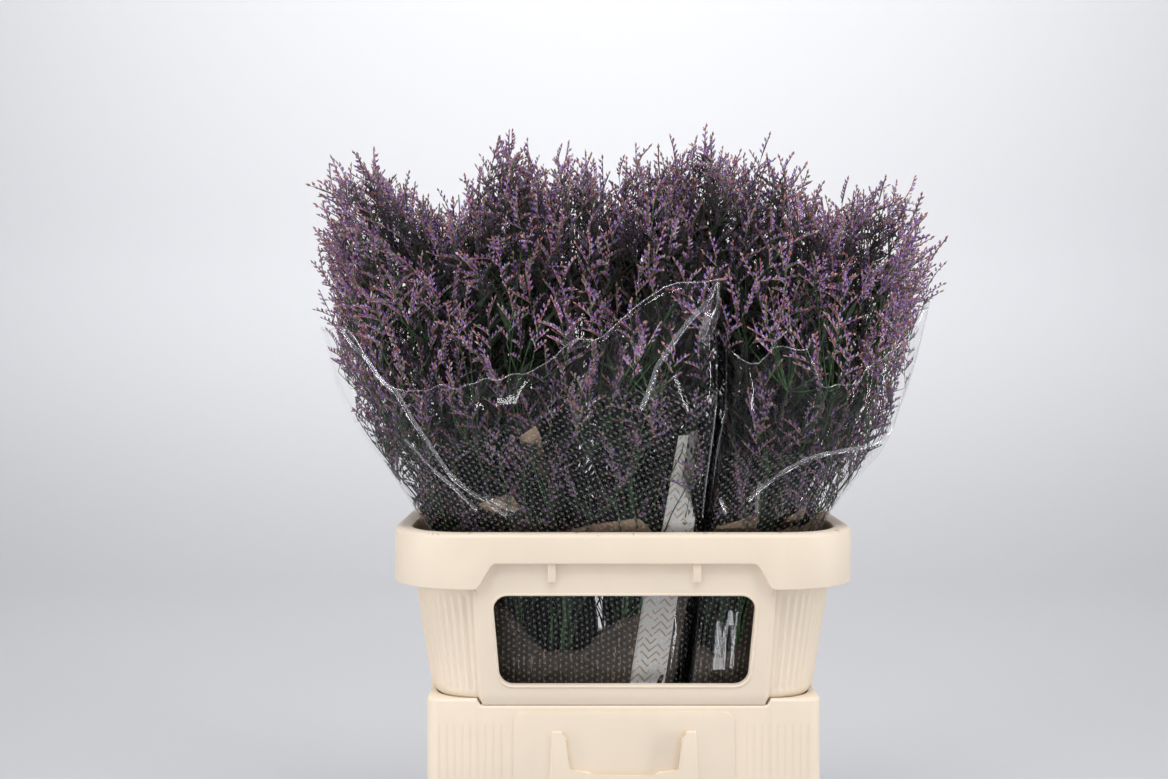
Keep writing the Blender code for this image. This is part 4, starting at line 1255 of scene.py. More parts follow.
def bucket_body(material):
    """The open bucket with its rounded rim, straight skirt and tapered wall."""
    foot_share = 0.010 / SKIRT_TOP
    rings = [bucket_ring((0.159, 0.110), 0.036, FLOOR, PANEL_FOOT),
             bucket_ring((0.183, 0.133), 0.040, rim_notch, drop=0.0012),
             bucket_ring((0.1840, 0.1340), 0.038, rim_notch)]
    for by, drop in quarter_turn(0.0030, 4):
        rings.append(bucket_ring(inset(BUCKET_HALF, by), BUCKET_CORNER - by, rim_notch, drop=drop))
    for half, corner, height, panel in (
            (BUCKET_HALF, BUCKET_CORNER, SKIRT_BOTTOM + 0.001, PANEL_SEAT),
            (inset(BUCKET_HALF, 0.0009), 0.0135, SKIRT_BOTTOM, PANEL_SEAT),
            (SKIRT_INSIDE_HALF, 0.0115, SKIRT_BOTTOM + 0.0008, PANEL_SEAT),
            (SKIRT_INSIDE_HALF, 0.0115, SKIRT_TOP, PANEL_SEAT),
            (BUCKET_WALL_HALF, 0.041, SKIRT_TOP, PANEL_SEAT),
            (between_pairs(BUCKET_FOOT_HALF, BUCKET_WALL_HALF, foot_share), 0.040, 0.010, PANEL_FOOT),
            ((0.1622, 0.1132), 0.0395, 0.0045, PANEL_FOOT),
            ((0.1602, 0.1112), 0.038, 0.0012, PANEL_FOOT),
            ((0.158, 0.109), 0.036, 0.0, PANEL_FOOT)):
        rings.append(bucket_ring(half, corner, height, panel))
    return object_from(loft(rings, capped=True), "bucket_body", material, 40)


def field_outline():
    """The raised field behind the card holder, wider at its foot, with round upper corners."""
    top, foot, radius = 0.3080, 0.2120, 0.010
    outline = [(-0.1075, foot), (0.1075, foot)]
    for side, turn in ((1, 0), (-1, 1)):
        outline += rounded_corner(side * (0.1056 - radius), top - radius, radius, turn, 6)
    return outline


def holder_outline():
    """The card holder: two posts and a stepped ledge."""
    right = [(0.072, 0.222), (0.069, 0.290), (0.0595, 0.290), (0.0575, 0.2835), (0.0550, 0.2835),
             (0.0530, 0.2525), (0.0330, 0.2505), (0.0290, 0.2470)]
    return right + [(-x, z) for x, z in reversed(right)]


def build_bucket():
    """The bucket with a raised field, a card holder and upright ribs at its front and back."""
    material = plastic_material()
    reliefs = [("field", field_outline(), 0.1385, 0.0018, 0.0006),
               ("holder", holder_outline(), 0.1392, 0.0062, 0.0012)]
    low, high = RIB_HEIGHTS
    for edge in (-1, 1):
        for k in range(9):
            x = edge * (0.118 + 0.0074 * k)
            rib = [(x - RIB_HALF, low), (x + RIB_HALF, low), (x + RIB_HALF, high), (x - RIB_HALF, high)]
            reliefs.append(("rib", rib, 0.1390, 0.0003, 0.0))
    parts = [bucket_body(material)]
    for side in (-1, 1):
        for name, outline, root, proud, rounding in reliefs:
            near, far = sorted((side * root, side * (BUCKET_HALF[1] + proud)))
            parts.append(object_from(prism(outline, near, far, rounding), name, material, 50))
    finish_piece(join_objects(parts, "bucket_dressed"), "cream_plastic", "bucket")


# Sleeves


def hole_zone(name, angle, height):
    """Where the film is holed: below a line that rises from left to right at the front."""
    top = 0.560
    if name == "front_left":
        degrees = np.degrees(angle) % 360
        top = np.interp(degrees, (0, 200, 222, 274, 322, 360),
                        (0.610, 0.560, 0.567, 0.588, 0.622, 0.610))
    return np.clip((top - height) / 0.004, 0, 1)


def film_creases(name):
    """The welded seams and the folds of a sleeve, as rounded ribbons that lie on the film."""
    bunch = BUNCHES[name]
    seams = [(SEAM_WIDTH, SEAM_ARCH, (0, 0), line) for line in bunch["seams"]]
    parts = []
    for width, arch_share, tilt, line in (*seams, *bunch["folds"]):
        marks = np.linspace(0, len(line) - 1, 36)
        degrees, level = [np.interp(marks, range(len(line)), [row[k] for row in line]) for k in (0, 1)]
        soften(degrees, 3)
        soften(level, 3)
        turn = np.radians(degrees)
        path = on_film(name, turn, np.minimum(level, edge_height(name, turn) - 0.001))
        ahead = on_film(name, turn + 0.01, level) - on_film(name, turn - 0.01, level)
        rise = on_film(name, turn, level + 0.004) - on_film(name, turn, level - 0.004)
        outward = unit(unit(np.cross(ahead, rise)) + np.array((tilt[0], 0.0, tilt[1])))
        parts.append((*ribbon(path - outward * 0.0002, outward, width, width * arch_share), 1))
    return parts


def film_chart(name, outer, triangles):
    """A map of the film in metres: the way round it, from the middle of its front, and the way up it."""
    rows, columns = outer.shape[:2]
    corner = triangles.ravel() % (rows * columns)
    facing = math.atan2(*BUNCHES[name]["sides"][::-1])
    start = round((facing + math.pi) % TAU / TAU * columns) % columns
    step = np.roll(np.linalg.norm(np.roll(outer, -1, axis=1) - outer, axis=2), -start, axis=1)
    length = np.concatenate([np.zeros((rows, 1)), np.cumsum(step, axis=1)], axis=1)
    order = (np.arange(columns) - start) % columns
    around = (length[:, :-1] - length[:, columns // 2, None])[:, order].ravel()[corner].reshape(-1, 3)
    place = order[corner % columns].reshape(-1, 3)
    wrapped = (place.max(1) - place.min(1) > columns / 2)[:, None] & (place == 0)
    around = around + wrapped * length[:, -1][corner // columns].reshape(-1, 3)
    upward = np.cumsum(np.linalg.norm(np.diff(outer, axis=0, prepend=outer[:1]), axis=2), axis=0)
    return np.stack([around.ravel(), upward.ravel()[corner]], -1)


def build_sleeve(name, materials):
    """One sleeve: its film, the bead along its top edge, its welded seams and its folds."""
    look = bpy.context.scene.statice_film
    angle = np.arange(FILM_COLUMNS) * TAU / FILM_COLUMNS
    edge = edge_height(name, angle)
    heights = [np.full(FILM_COLUMNS, height) for height in FILM_LOW_ROWS]
    heights += [AT_LIP + (edge - AT_LIP) * (k / FILM_RISE_ROWS) for k in range(FILM_RISE_ROWS + 1)]
    heights = np.array(heights)
    angles = np.broadcast_to(angle, heights.shape)
    outer, inner = on_film(name, angles, heights), on_film(name, angles, heights, look.thickness)
    film, film_triangles = grid_shell(outer, inner, wraps=True)
    bead = on_film(name, np.append(angle, angle[0]), np.append(edge, edge[0]), look.thickness / 2)
    parts = [(film, film_triangles, 0), (*tubes(bead[None], BEAD_RADIUS, 6), 1), *film_creases(name)]
    points, triangles, slots = join_meshes(parts)
    sleeve = mesh_object(f"film_sleeve_{name}", points, triangles, materials, slots, smooth=True)
    holed = np.zeros(len(points))
    holed[: heights.size] = hole_zone(name, angles, heights).ravel()
    store_values(sleeve.data, "holed", holed)
    chart = np.zeros((triangles.size, 2))
    chart[: film_triangles.size] = film_chart(name, outer, film_triangles)
    store_chart(sleeve.data, "film_map", chart)
    finish_piece(sleeve, "clear_film", f"sleeve_{name}")


# Paper and bands


def liner_sheet(name, degrees, foot, top, rows, extra=0.0):
    """One sheet of crumpled paper against the film, with its foot and its upper edge given."""
    height = foot + (top - foot)[None, :] * np.linspace(0, 1, rows)[:, None]
    angles = np.broadcast_to(np.radians(degrees), height.shape)
    free = np.clip((height - 0.45) / 0.06, 0, 1)
    wave = np.sin(9 * angles + BUNCHES[name]["phase"] + 30 * height) * np.sin(4 * angles - 22 * height)
    crumple = 0.5 + 0.5 * wave
    tucked = np.clip((top.max() - 0.014 - height) / 0.020, 0, 1) * np.clip((height - 0.47) / 0.01, 0, 1)
    depth = 0.0030 + 0.0010 * crumple + free * 0.0060 * crumple + extra * tucked
    outer, inner = [on_film(name, angles, height, depth + behind) for behind in (0.0, SHEET_THICKNESS)]
    return (*grid_shell(outer, inner, wraps=False), 0)


def build_liner(name, material):
    """A paper wrap inside the sleeve, torn low where the window shows the stems, with loose corners."""
    rows = LINER_EDGES[name]
    degrees = np.linspace(rows[0][0], rows[-1][0], LINER_COLUMNS)
    top = np.interp(degrees, *zip(*rows))
    soften(top, 2)
    top += 0.0012 * np.sin(degrees * 0.9) + 0.0008 * np.sin(degrees * 2.3)
    parts = [liner_sheet(name, degrees, np.full(LINER_COLUMNS, LINER_FOOT), top, 40)]
    for middle, peak, reach in LINER_CORNERS[name]:
        share = np.linspace(-1, 1, 41)
        drop = eased((np.abs(share) - 0.72) / 0.28)
        corner_top = peak - 0.008 * (1 - share) - (peak - 0.479) * drop * 0.99
        corner_foot = np.minimum(0.474, corner_top - 0.003)
        parts.append(liner_sheet(name, middle + reach * share, corner_foot, corner_top, 14, 0.045))
    points, triangles, slots = join_meshes(parts)
    liner = mesh_object(f"paper_liner_{name}", points, triangles, [material], slots, smooth=True)
    finish_piece(liner, "kraft_paper", f"liner_{name}")


def build_strip(material):
    """The printed strip against the front of the left sleeve, tucked in at its top and gently bowed."""
    levels, edges, widths = np.array(STRIP_ROWS).T
    height = np.linspace(levels[0], levels[-1], STRIP_LEVELS)
    share = np.linspace(0, 1, STRIP_COLUMNS)
    turn = np.linspace(-math.pi + 0.05, -0.05, 300)
    sheets = []
    for extra in (0.0, SHEET_THICKNESS):
        rows = []
        for z in height:
            edge, wide = np.interp(z, levels, edges), np.interp(z, levels, widths)
            deep = 0.020 * np.clip((z - 0.486) / 0.045, 0, 1)
            film = on_film("front_left", turn, z, 0.0008 + deep + extra)
            x = edge - wide * share
            y = np.interp(x, film[:, 0], film[:, 1]) + 0.0007 * (1 + np.sin(60 * z + 5 * share))
            rows.append(np.stack([x, y, np.full(STRIP_COLUMNS, z)], -1))
        sheets.append(np.array(rows)[:, ::-1])
    points, triangles = grid_shell(*sheets, wraps=False)
    strip = mesh_object("printed_strip_dressed", points, triangles, [material], smooth=True)
    across, along = np.meshgrid(share * 0.03, height - height[0])
    chart = np.tile(np.stack([across, along], -1).reshape(-1, 2), (2, 1))
    store_chart(strip.data, "strip_map", chart[triangles.ravel()])
    finish_piece(strip, "printed_paper", "printed_strip")


def build_band(name, material):
    """The elastic band round the tied stems: flat, slightly rolled and wavy."""
    bunch = BUNCHES[name]
    middle = read_smoothly(bunch["middle"], np.array(TIE_HEIGHT))
    reach = TIE_SPREAD * math.sqrt((bunch["stems"] - 0.5) / bunch["stems"]) + STEM_RADIUS + 0.0003
    rings = []
    for step in range(12):
        around = TAU * step / 12
        roundness = 1 if abs(math.sin(around)) < 0.9 else 0.6
        radius = reach + 0.0008 + 0.0008 * math.cos(around) * roundness
        ring = []
        for turn in (TAU * k / 64 for k in range(64)):
            lift = 0.003 * math.sin(around) + 0.0003 * math.sin(5 * turn + bunch["phase"])
            x, y = middle[0] + radius * math.cos(turn), middle[1] + radius * math.sin(turn)
            ring.append((x, y, TIE_HEIGHT + lift))
        rings.append(ring)
    band = object_from(loft(rings), f"elastic_band_{name}", material, 60)
    finish_piece(band, "rubber_band", f"band_{name}")


# How the statice grows


def crown_top(x, y, half_y):
    """The height of the crown's bumpy top."""
    marks = np.array(SKYLINE)
    ridge = np.interp(x, marks[:, 0], marks[:, 1])
    bumps = 0.010 * np.sin(x * 71 + 1.3) * np.sin(y * 64 + 0.4) + 0.006 * np.sin(x * 133 + y * 97)
    return ridge - SKYLINE_FALL * np.abs(y / half_y) ** 2.6 + bumps


def stem_point(name, share, angle, height):
    """A point on a stem that keeps its share of the sleeve's radius at every height."""
    middle = read_smoothly(BUNCHES[name]["middle"], np.array(height))
    flare = 1 + CROWN_FLARE[1] * max(0.0, height - CROWN_FLARE[0])
    wide = STEM_REACH * flare * float(film_outline(name, angle, max(height, IN_BUCKET)))
    if height < IN_BUCKET:
        spreads = (FOOT_SPREAD, TIE_SPREAD, wide)
        wide = float(np.interp(height, (STEM_FOOT, TIE_HEIGHT, IN_BUCKET), spreads))
    x, y = middle[0] + share * wide * math.cos(angle), middle[1] + share * wide * math.sin(angle)
    return np.array((x, y, height))


def on_line(line, height):
    """The point of a rising line at a height."""
    return [np.interp(height, line[:, 2], line[:, 0]), np.interp(height, line[:, 2], line[:, 1]), height]


def main_stems():
    """The line of every stem, as the solids have it: name, bunch and points from foot to tip."""
    rng = random.Random(SEED)
    half = read_smoothly(CROWN, np.array(SHOULDER_HEIGHT))
    stems = []
    for name, bunch in BUNCHES.items():
        for number in range(bunch["stems"]):
            share = math.sqrt((number + 0.5) / bunch["stems"])
            angle = (number * GOLDEN_TURN + 0.4) % TAU
            x, y, _ = stem_point(name, share, angle, SHOULDER_HEIGHT)
            fall = TIP_FALL[0] * abs(x / half[0]) ** 4 + TIP_FALL[1] * abs(y / half[1]) ** 2.6
            top = TIP_HEIGHT - fall + rng.uniform(-TIP_JITTER, TIP_JITTER)
            heights = (STEM_FOOT, TIE_HEIGHT, IN_BUCKET, AT_LIP, IN_CROWN, top - 0.06)
            line = np.array([stem_point(name, share, angle, height) for height in heights])
            stems.append((f"statice_{name}_{number + 1:02d}", name, line))
    return stems


def thin_stems(stems, each, rng):
    """Several thin stems round the line of each solid one: the solid's number, and points."""
    owners, lines = [], []
    for owner, (_, _, line) in enumerate(stems):
        knots = np.arange(len(line))
        marks = np.linspace(0, len(line) - 1, 13)
        for k in range(each):
            turn = TAU * k / each + rng.uniform(0, TAU)
            twist = turn + np.linspace(0, rng.uniform(-1.2, 1.2), len(line))
            offset = np.stack([np.cos(twist), np.sin(twist), np.zeros(len(line))], -1)
            moved = line + offset * np.array(THIN_STEM_SPREAD)[:, None] * rng.uniform(0.75, 1.1)
            moved[-1, 2] -= rng.uniform(0.0, 0.09)
            smooth = read_smoothly(dict(zip(knots.tolist(), moved)), marks)
            smooth[:, 2] = np.interp(marks, knots, moved[:, 2])
            owners.append(owner)
            lines.append(smooth)
    return np.array(owners), np.array(lines)


def crown_depth(points):
    """How deep points lie under the crown's surface, from its sides and from its top."""
    half = read_smoothly(CROWN, points[:, 2])
    out = superellipse(points[:, 0], points[:, 1], half)
    side = (1 - out) * np.minimum(half[:, 0], half[:, 1]) * 1.15
    return side, crown_top(points[:, 0], points[:, 1], half[:, 1]) - points[:, 2]


def crown_lattice(spacing, rng):
    """Jittered points that fill the crown's box."""
    axes = [np.arange(low, high, spacing) for low, high in zip(*CROWN_BOX)]
    points = np.stack(np.meshgrid(*axes, indexing="ij"), -1)
    points[:, ::2, :, 0] += spacing / 2
    points = points.reshape(-1, 3)
    return points + rng.uniform(-0.42, 0.42, points.shape) * spacing


def bunch_at(points):
    """The number of the bunch that each point belongs to, in the order of the bunches."""
    front = points[:, 1] < 0
    planes = [read_smoothly(table, points[:, 2])[:, 0] for table in (FRONT_PLANE, BACK_PLANE)]
    plane = np.where(front, *planes)
    return np.where(front, 0, 2) + np.where(points[:, 0] < plane, 0, 1)


def growing_ways(points, side, rng):
    """The direction in which each spray grows: upwards, and outwards near the crown's sides."""
    half = read_smoothly(CROWN, points[:, 2])
    out = points[:, :2] / half[:, :2]
    lean = unit(np.abs(out) ** (half[:, 2:] - 1) * np.sign(out) / half[:, :2])
    lean = lean * np.clip(1.1 - side / 0.10, 0.0, 1.0)[:, None]
    free = np.clip((points[:, 2] - 0.64) / 0.10, 0.25, 1.0)[:, None]
    way = np.concatenate([lean * 0.80 * free, np.ones((len(points), 1))], -1)
    return unit(way + rng.normal(0, 0.24, way.shape))


def spray_places(look, maps, rng):
    """Where the sprays end: place, bunch, growing direction, depth under the crown's surface."""
    sets = []
    layers = ((look.outer_spacing, -0.004, OUTER_DEPTH), (look.inner_spacing, OUTER_DEPTH, FLORET_DEPTH),
              (look.inner_spacing * 1.06, FLORET_DEPTH, 0.5))
    for spacing, near, far in layers:
        points = crown_lattice(spacing, rng)
        side, above = crown_depth(points)
        trim = np.where(points[:, 0] < 0, 0.013, 0.003) + np.where(points[:, 1] > 0, 0.003, 0.0)
        depth = np.minimum(side - trim, above - 0.021)
        keep = (depth > near) & (depth <= far)
        if near <= OUTER_DEPTH:
            x, y, z = points.T
            patch = np.sin(x * 47 + 1) * np.sin(y * 53 + 2) * np.sin(z * 61 + 0.5)
            keep &= patch + 0.5 * np.sin(x * 101 + z * 83) > -0.46
        bunch = bunch_at(points)
        for index, name in enumerate(BUNCHES):
            mine = bunch == index
            _, _, distance, film, edge = maps[name].place(points[mine])
            held = points[mine][:, 2] < edge + 0.004
            keep[mine] &= ~held | (distance < film - 0.0042)
        ways = growing_ways(points, side, rng)
        sets.append([array[keep] for array in (points, bunch, ways, np.maximum(depth, 0))])
    return [np.concatenate(column) for column in zip(*sets)]


def floret(foot, way, length, wide):
    """One floret: a slim bud of six triangles, its calyx below and its petals above."""
    way = unit(np.array(way, float))
    side = unit(np.cross(way, (0.3, 0.9, 0.1)))
    upper = np.cross(way, side)
    waist = [foot + way * length * 0.46 + wide * (math.cos(t) * side + math.sin(t) * upper)
             for t in (0.4, 0.4 + TAU / 3, 0.4 + 2 * TAU / 3)]
    points = [foot, *waist, foot + way * length]
    return np.array(points), np.array(BUD_FACES), np.array([1, 1, 1, 2, 2, 2])


def leaves_of_stems(lines, rng, each):
    """Narrow dark leaves up every thin stem: owner, foot, direction, length and half width."""
    count = len(lines) * each
    owner = np.repeat(np.arange(len(lines)), each)
    height = rng.uniform(0.30, 0.70, count)
    height = np.minimum(height, lines[owner, -1, 2] - 0.02)
    foot = np.array([on_line(lines[row], level) for row, level in zip(owner, height)])
    turn = rng.uniform(0, TAU, count)
    low = height < 0.44
    spread = np.where(low, 0.40, 1.10) * rng.uniform(0.6, 1.2, count)
    way = unit(np.stack([np.cos(turn) * spread, np.sin(turn) * spread, np.ones(count)], -1))
    length = rng.uniform(0.050, 0.078, count)
    return owner, foot, way, length, np.where(low, 0.0016, 0.0026) * rng.uniform(0.7, 1.1, count)


def keep_in_crown(points):
    """Draws points that stick out of the crown back inside it."""
    reach = superellipse(points[:, 0], points[:, 1], read_smoothly(CROWN, points[:, 2]))
    pull = np.minimum(1.0, 0.90 / np.maximum(reach, 1e-6))
    return points * np.stack([pull, pull, np.ones(len(points))], -1)


def leaf_blades(foot, way, length, wide):
    """Slim keeled blades, six triangles each, drooping a little at the tip."""
    length, wide = length[:, None], wide[:, None]
    side = unit(np.cross(way, (0.21, 0.34, 0.91)))
    keel = np.cross(way, side) * wide * 0.35
    waist = foot + way * length * 0.45
    tip = foot + way * length - length * (0.0, 0.0, 0.16)
    points = np.stack([foot, waist + side * wide, waist + keel, waist - side * wide, tip], 1)
    return points.reshape(-1, 3), repeated(np.array(BUD_FACES), 5, len(foot))


def full_spike():
    """A spike of seven florets in two rows along the upper side of its stalk, 24 mm long."""
    stalk = np.array([[(0, 0, 0), (0, 0.0001, 0.011), (0, 0.0003, 0.021)]])
    points, triangles = tubes(stalk, np.array([[0.00062, 0.00060, 0.00035]]), 3)
    parts = [(points, triangles[:-1], np.where(np.arange(len(triangles) - 1) % 3 == 0, 0, 1))]
    for k in range(7):
        row = 1 if k % 2 else -1
        foot = np.array((row * 0.0003, 0.0002, 0.0028 + 0.00270 * k))
        way = (row * 0.42, 0.60, 0.86) if k < 6 else (0.0, 0.22, 1.0)
        points, triangles, slots = floret(foot, way, 0.0056 - 0.0001 * k, 0.00115)
        parts.append((points, triangles, np.full(6, 1) if k > 4 else slots))
    return join_meshes(parts)


def plain_spike():
    """A spike for the inside of the crown: one knobbly bud, most of its faces in the near-black leaf
    material as painted shade.
    """
    rings = []
    for start, radius, height in ((0.0, 0.0020, 0.008), (1.0, 0.0018, 0.017)):
        turns = (start, start + TAU / 3, start + 2 * TAU / 3)
        ring = [(math.cos(turn) * radius, 0.8 * math.sin(turn) * radius, height) for turn in turns]
        rings.append(np.array(ring))
    points = np.concatenate([[(0, 0, 0)], rings[0], rings[1], [(0, 0, 0.025)]])
    lower = [(2, 1, 0), (3, 2, 0), (1, 3, 0)]
    middle = [(1, 2, 4), (2, 5, 4), (2, 3, 5), (3, 6, 5), (3, 1, 6), (1, 4, 6)]
    upper = [(4, 5, 7), (5, 6, 7), (6, 4, 7)]
    # Painted shade: most faces take the near-black leaf material (slot 3)
    return points, np.array(lower + middle + upper), np.array([3] * 3 + [1, 3] * 3 + [2, 3, 1])


def spikes_of_sprays(look, ends, ways, rng, count):
    """The spikes of each spray in a V-shaped fan: foot, side, upper and growing direction, length."""
    number = len(ends)
    flat = unit(np.cross(ways, unit(rng.normal(0, 1, (number, 3)))))
    across = np.cross(ways, flat)
    spikes = []
    for k in range(count):
        tip = k == 0
        side = np.where(rng.random(number) < 0.5, 1, -1) if tip else np.full(number, 1 if k % 2 else -1)
        back = (0.002 if tip else 0.0035 + 0.0062 * k) + rng.uniform(-0.0015, 0.0015, number)
        spread = 0.10 if tip else 0.70
        tilt = rng.normal(0, 0.22, number)[:, None]
        way = unit(ways * (1.0 if tip else 0.86) + flat * side[:, None] * spread + across * tilt)
        inward = -flat * side[:, None]
        upper = unit(inward - way * (inward * way).sum(1, keepdims=True))
        length = look.spike_length * rng.uniform(0.82, 1.16, number) * (1.12 if tip else 1.0 - 0.02 * k)
        spikes.append((ends - ways * back[:, None], np.cross(upper, way), upper, way, length))
    return [np.concatenate(column) for column in zip(*spikes)]


def place_spikes(template, foot, side, upper, way, length, bend, rng):
    """Copies of one spike at many places, each bent back and a little uneven."""
    points, triangles, slots = template
    count, corners = len(foot), len(points)
    local = points[None] * (length / TEMPLATE_LENGTH)[:, None, None]
    local = local + rng.normal(0, 0.00016, (count, corners, 3))
    local[..., 1] -= bend[:, None] * (local[..., 2] ** 2) / length[:, None]
    frames = np.stack([side, upper, way], 1)
    made = foot[:, None, :] + local @ frames
    return made.reshape(-1, 3), repeated(triangles, corners, count), np.tile(slots, count)


def arch(start, end, lift, steps):
    """Paths that leave start upwards and curve over to end."""
    middle = start * 0.45 + end * 0.55
    middle = middle + np.concatenate([(start - end)[:, :2] * 0.10, lift[:, None]], -1)
    share = np.linspace(0, 1, steps)[None, :, None]
    start, middle, end = start[:, None], middle[:, None], end[:, None]
    return start * (1 - share) ** 2 + 2 * middle * share * (1 - share) + end * share**2


def grow_boughs(ends, bunch, ways, owners, lines, bunch_of_owner):
    """Groups nearby sprays on boughs, and ties each bough to the nearest thin stem of its bunch."""
    cell = np.floor(ends / BOUGH_CELL).astype(int)
    _, group = np.unique(np.concatenate([bunch[:, None], cell], 1), axis=0, return_inverse=True)
    group = group.reshape(-1)
    count = group.max() + 1
    middle, lean = [np.stack([np.bincount(group, rows[:, k], count) for k in range(3)], -1)
                    for rows in (ends, ways)]
    node = middle / np.bincount(group, minlength=count)[:, None] - unit(lean) * BOUGH_REACH
    node[:, 2] = np.maximum(node[:, 2] - 0.006, CROWN_FOOT - 0.02)
    bunch_of = np.zeros(count, int)
    bunch_of[group] = bunch
    stem_of, start = np.zeros(count, int), np.zeros((count, 3))
    for index in range(count):
        base = node[index, 2] - 0.045
        choices = []
        for row in np.flatnonzero(bunch_of_owner[owners] == bunch_of[index]):
            height = min(max(base, 0.40), lines[row][-1, 2])
            point = on_line(lines[row], height)
            away = math.hypot(point[0] - node[index, 0], point[1] - node[index, 1])
            choices.append((away + 0.6 * abs(base - height), row))
        gap, row = min(choices)
        height = min(max(node[index, 2] - 0.03 - 0.9 * gap, 0.38), lines[row][-1, 2])
        start[index] = on_line(lines[row], height)
        stem_of[index] = owners[row]
    return group, node, start, stem_of


def painted_crown_shade(points):
    """Painted shade for each point: how dark it is deep in the crown, and under its overhang above the
    collar.
    """
    deep = np.clip((np.minimum(*crown_depth(points)) - 0.012) / 0.042, 0, 1)
    height = points[:, 2]
    overhung = 0.64 * np.clip((0.68 - height) / 0.12, 0, 1) * np.clip((height - 0.43) / 0.03, 0, 1)
    return 1 - (1 - deep) * (1 - overhung)


def build_statice():
    """One piece for each solid stem: thin stems, boughs, sprays and their flower spikes."""
    look = bpy.context.scene.statice_flowers
    rng = np.random.default_rng(SEED)
    maps = {name: FilmMap(name) for name in BUNCHES}
    stems = main_stems()
    names = list(BUNCHES)
    bunch_of_owner = np.array([names.index(stem[1]) for stem in stems])
    owners, lines = thin_stems(stems, look.stems_each, rng)
    lines = keep_in_crown(lines.reshape(-1, 3)).reshape(lines.shape)
    ends, bunch, ways, depth = spray_places(look, maps, rng)
    group, node, start, stem_of = grow_boughs(ends, bunch, ways, owners, lines, bunch_of_owner)
    leaf_owner, *leaves = leaves_of_stems(lines, rng, look.leaves_each)
    full, plain = full_spike(), plain_spike()
    materials = plant_materials()
    taper = np.linspace(1, 0, lines.shape[1]) ** 0.8
    for index, (node_name, name, _) in enumerate(stems):
        mine = owners[leaf_owner] == index
        blades, blade_triangles = leaf_blades(*[column[mine] for column in leaves])
        parts = [(*tubes(lines[owners == index], 0.00055 + 0.00075 * taper, 5), 0),
                 (keep_in_crown(blades), blade_triangles, 3)]
        boughs = stem_of == index
        if boughs.any():
            reach = np.linalg.norm(node[boughs] - start[boughs], axis=1)
            paths = arch(start[boughs], node[boughs], -0.18 * reach, 6)
            parts.append((*tubes(paths, np.linspace(0.00085, 0.0006, 6), 4), 0))
        sprays = boughs[group]
        if sprays.any():
            foot = node[group[sprays]]
            reach = np.linalg.norm(ends[sprays] - foot, axis=1)
            joint = ends[sprays] - ways[sprays] * np.minimum(0.034, reach * 0.7)[:, None]
            paths = np.concatenate([arch(foot, joint, -0.10 * reach, 4), ends[sprays][:, None]], 1)
            parts.append((*tubes(paths, np.linspace(0.00058, 0.00036, 5), 3), 0))
        near = depth < FLORET_DEPTH
        for chosen, template, count, size in ((sprays & near, full, 5, 1.0),
                                              (sprays & ~near, plain, 4, look.inner_size)):
            if chosen.any():
                *places, length = spikes_of_sprays(look, ends[chosen], ways[chosen], rng, count)
                bend = rng.uniform(0.05, 0.34, len(length))
                parts.append(place_spikes(template, *places, length * size, bend, rng))
        points, triangles, slots = join_meshes(parts)
        points = keep_from_film(points, name, maps)
        piece = mesh_object(f"flowering_{node_name[8:]}", points, triangles, materials, slots)
        # Keeps the painted shade for the plant materials to read
        store_values(piece.data, "inner", painted_crown_shade(points))
        finish_piece(piece, "statice", node_name)


# Stage


def area_light(name, place, target, size, power):
    """A rectangular soft light that points at a target."""
    light = bpy.data.lights.new(name, "AREA")
    light.shape = "RECTANGLE"
    light.size, light.size_y = size
    light.energy = power
    obj = add_object(name, light)
    obj.visible_camera = False
    obj.location = place
    obj.rotation_euler = (Vector(target) - Vector(place)).to_track_quat("-Z", "Y").to_euler()


def backdrop_material():
    """A pale matt sweep with painted shade: darker towards the bottom, lighter towards the top."""
    look = bpy.context.scene.statice_stage
    material, w, shader = new_material("pale_backdrop")
    patches = w.times(w.mottle(3.0, 0.2, 0.8), 0.15)
    # Painted shade and light: the colour is darkened low down and lightened high up, as the light falls
    lower = w.mix(patches, shade(look.backdrop, 0.68), shade(look.backdrop, 0.71))
    base = w.mix(w.between(w.height(), -0.35, 1.0), lower, shade(look.backdrop, 1.16))
    w.feed(shader.inputs["Base Color"], base)
    shader.inputs["Roughness"].default_value = 0.9
    shader.inputs["Specular IOR Level"].default_value = 0.1
    return material


def build_sweep(material):
    """Floor and backdrop in one sheet that curves up behind the object."""
    profile = [(-4.0, 0.0)]
    for turn in np.linspace(0, math.pi / 2, 14):
        profile.append((SWEEP_START + SWEEP_RADIUS * math.sin(turn),
                        SWEEP_RADIUS * (1 - math.cos(turn))))
    profile.append((SWEEP_START + SWEEP_RADIUS, 5.0))
    bm = bmesh.new()
    rows = [[bm.verts.new((x, y, z - 0.0005)) for x in np.linspace(-6, 6, 13)] for y, z in profile]
    for lower, upper in zip(rows, rows[1:]):
        for k in range(len(lower) - 1):
            bm.faces.new((lower[k], lower[k + 1], upper[k + 1], upper[k]))
    sweep = object_from(bm, "floor_and_backdrop", material, 60)


def build_camera():
    """The camera at the photograph's viewing angle."""
    camera = bpy.data.cameras.new("camera")
    camera.lens = CAMERA_LENS
    camera.sensor_width = 36.0
    camera.dof.use_dof = False
    holder = add_object("camera", camera)
    holder.location = CAMERA_PLACE
    holder.rotation_euler = (math.radians(CAMERA_PITCH), 0.0, 0.0)
    bpy.context.scene.camera = holder


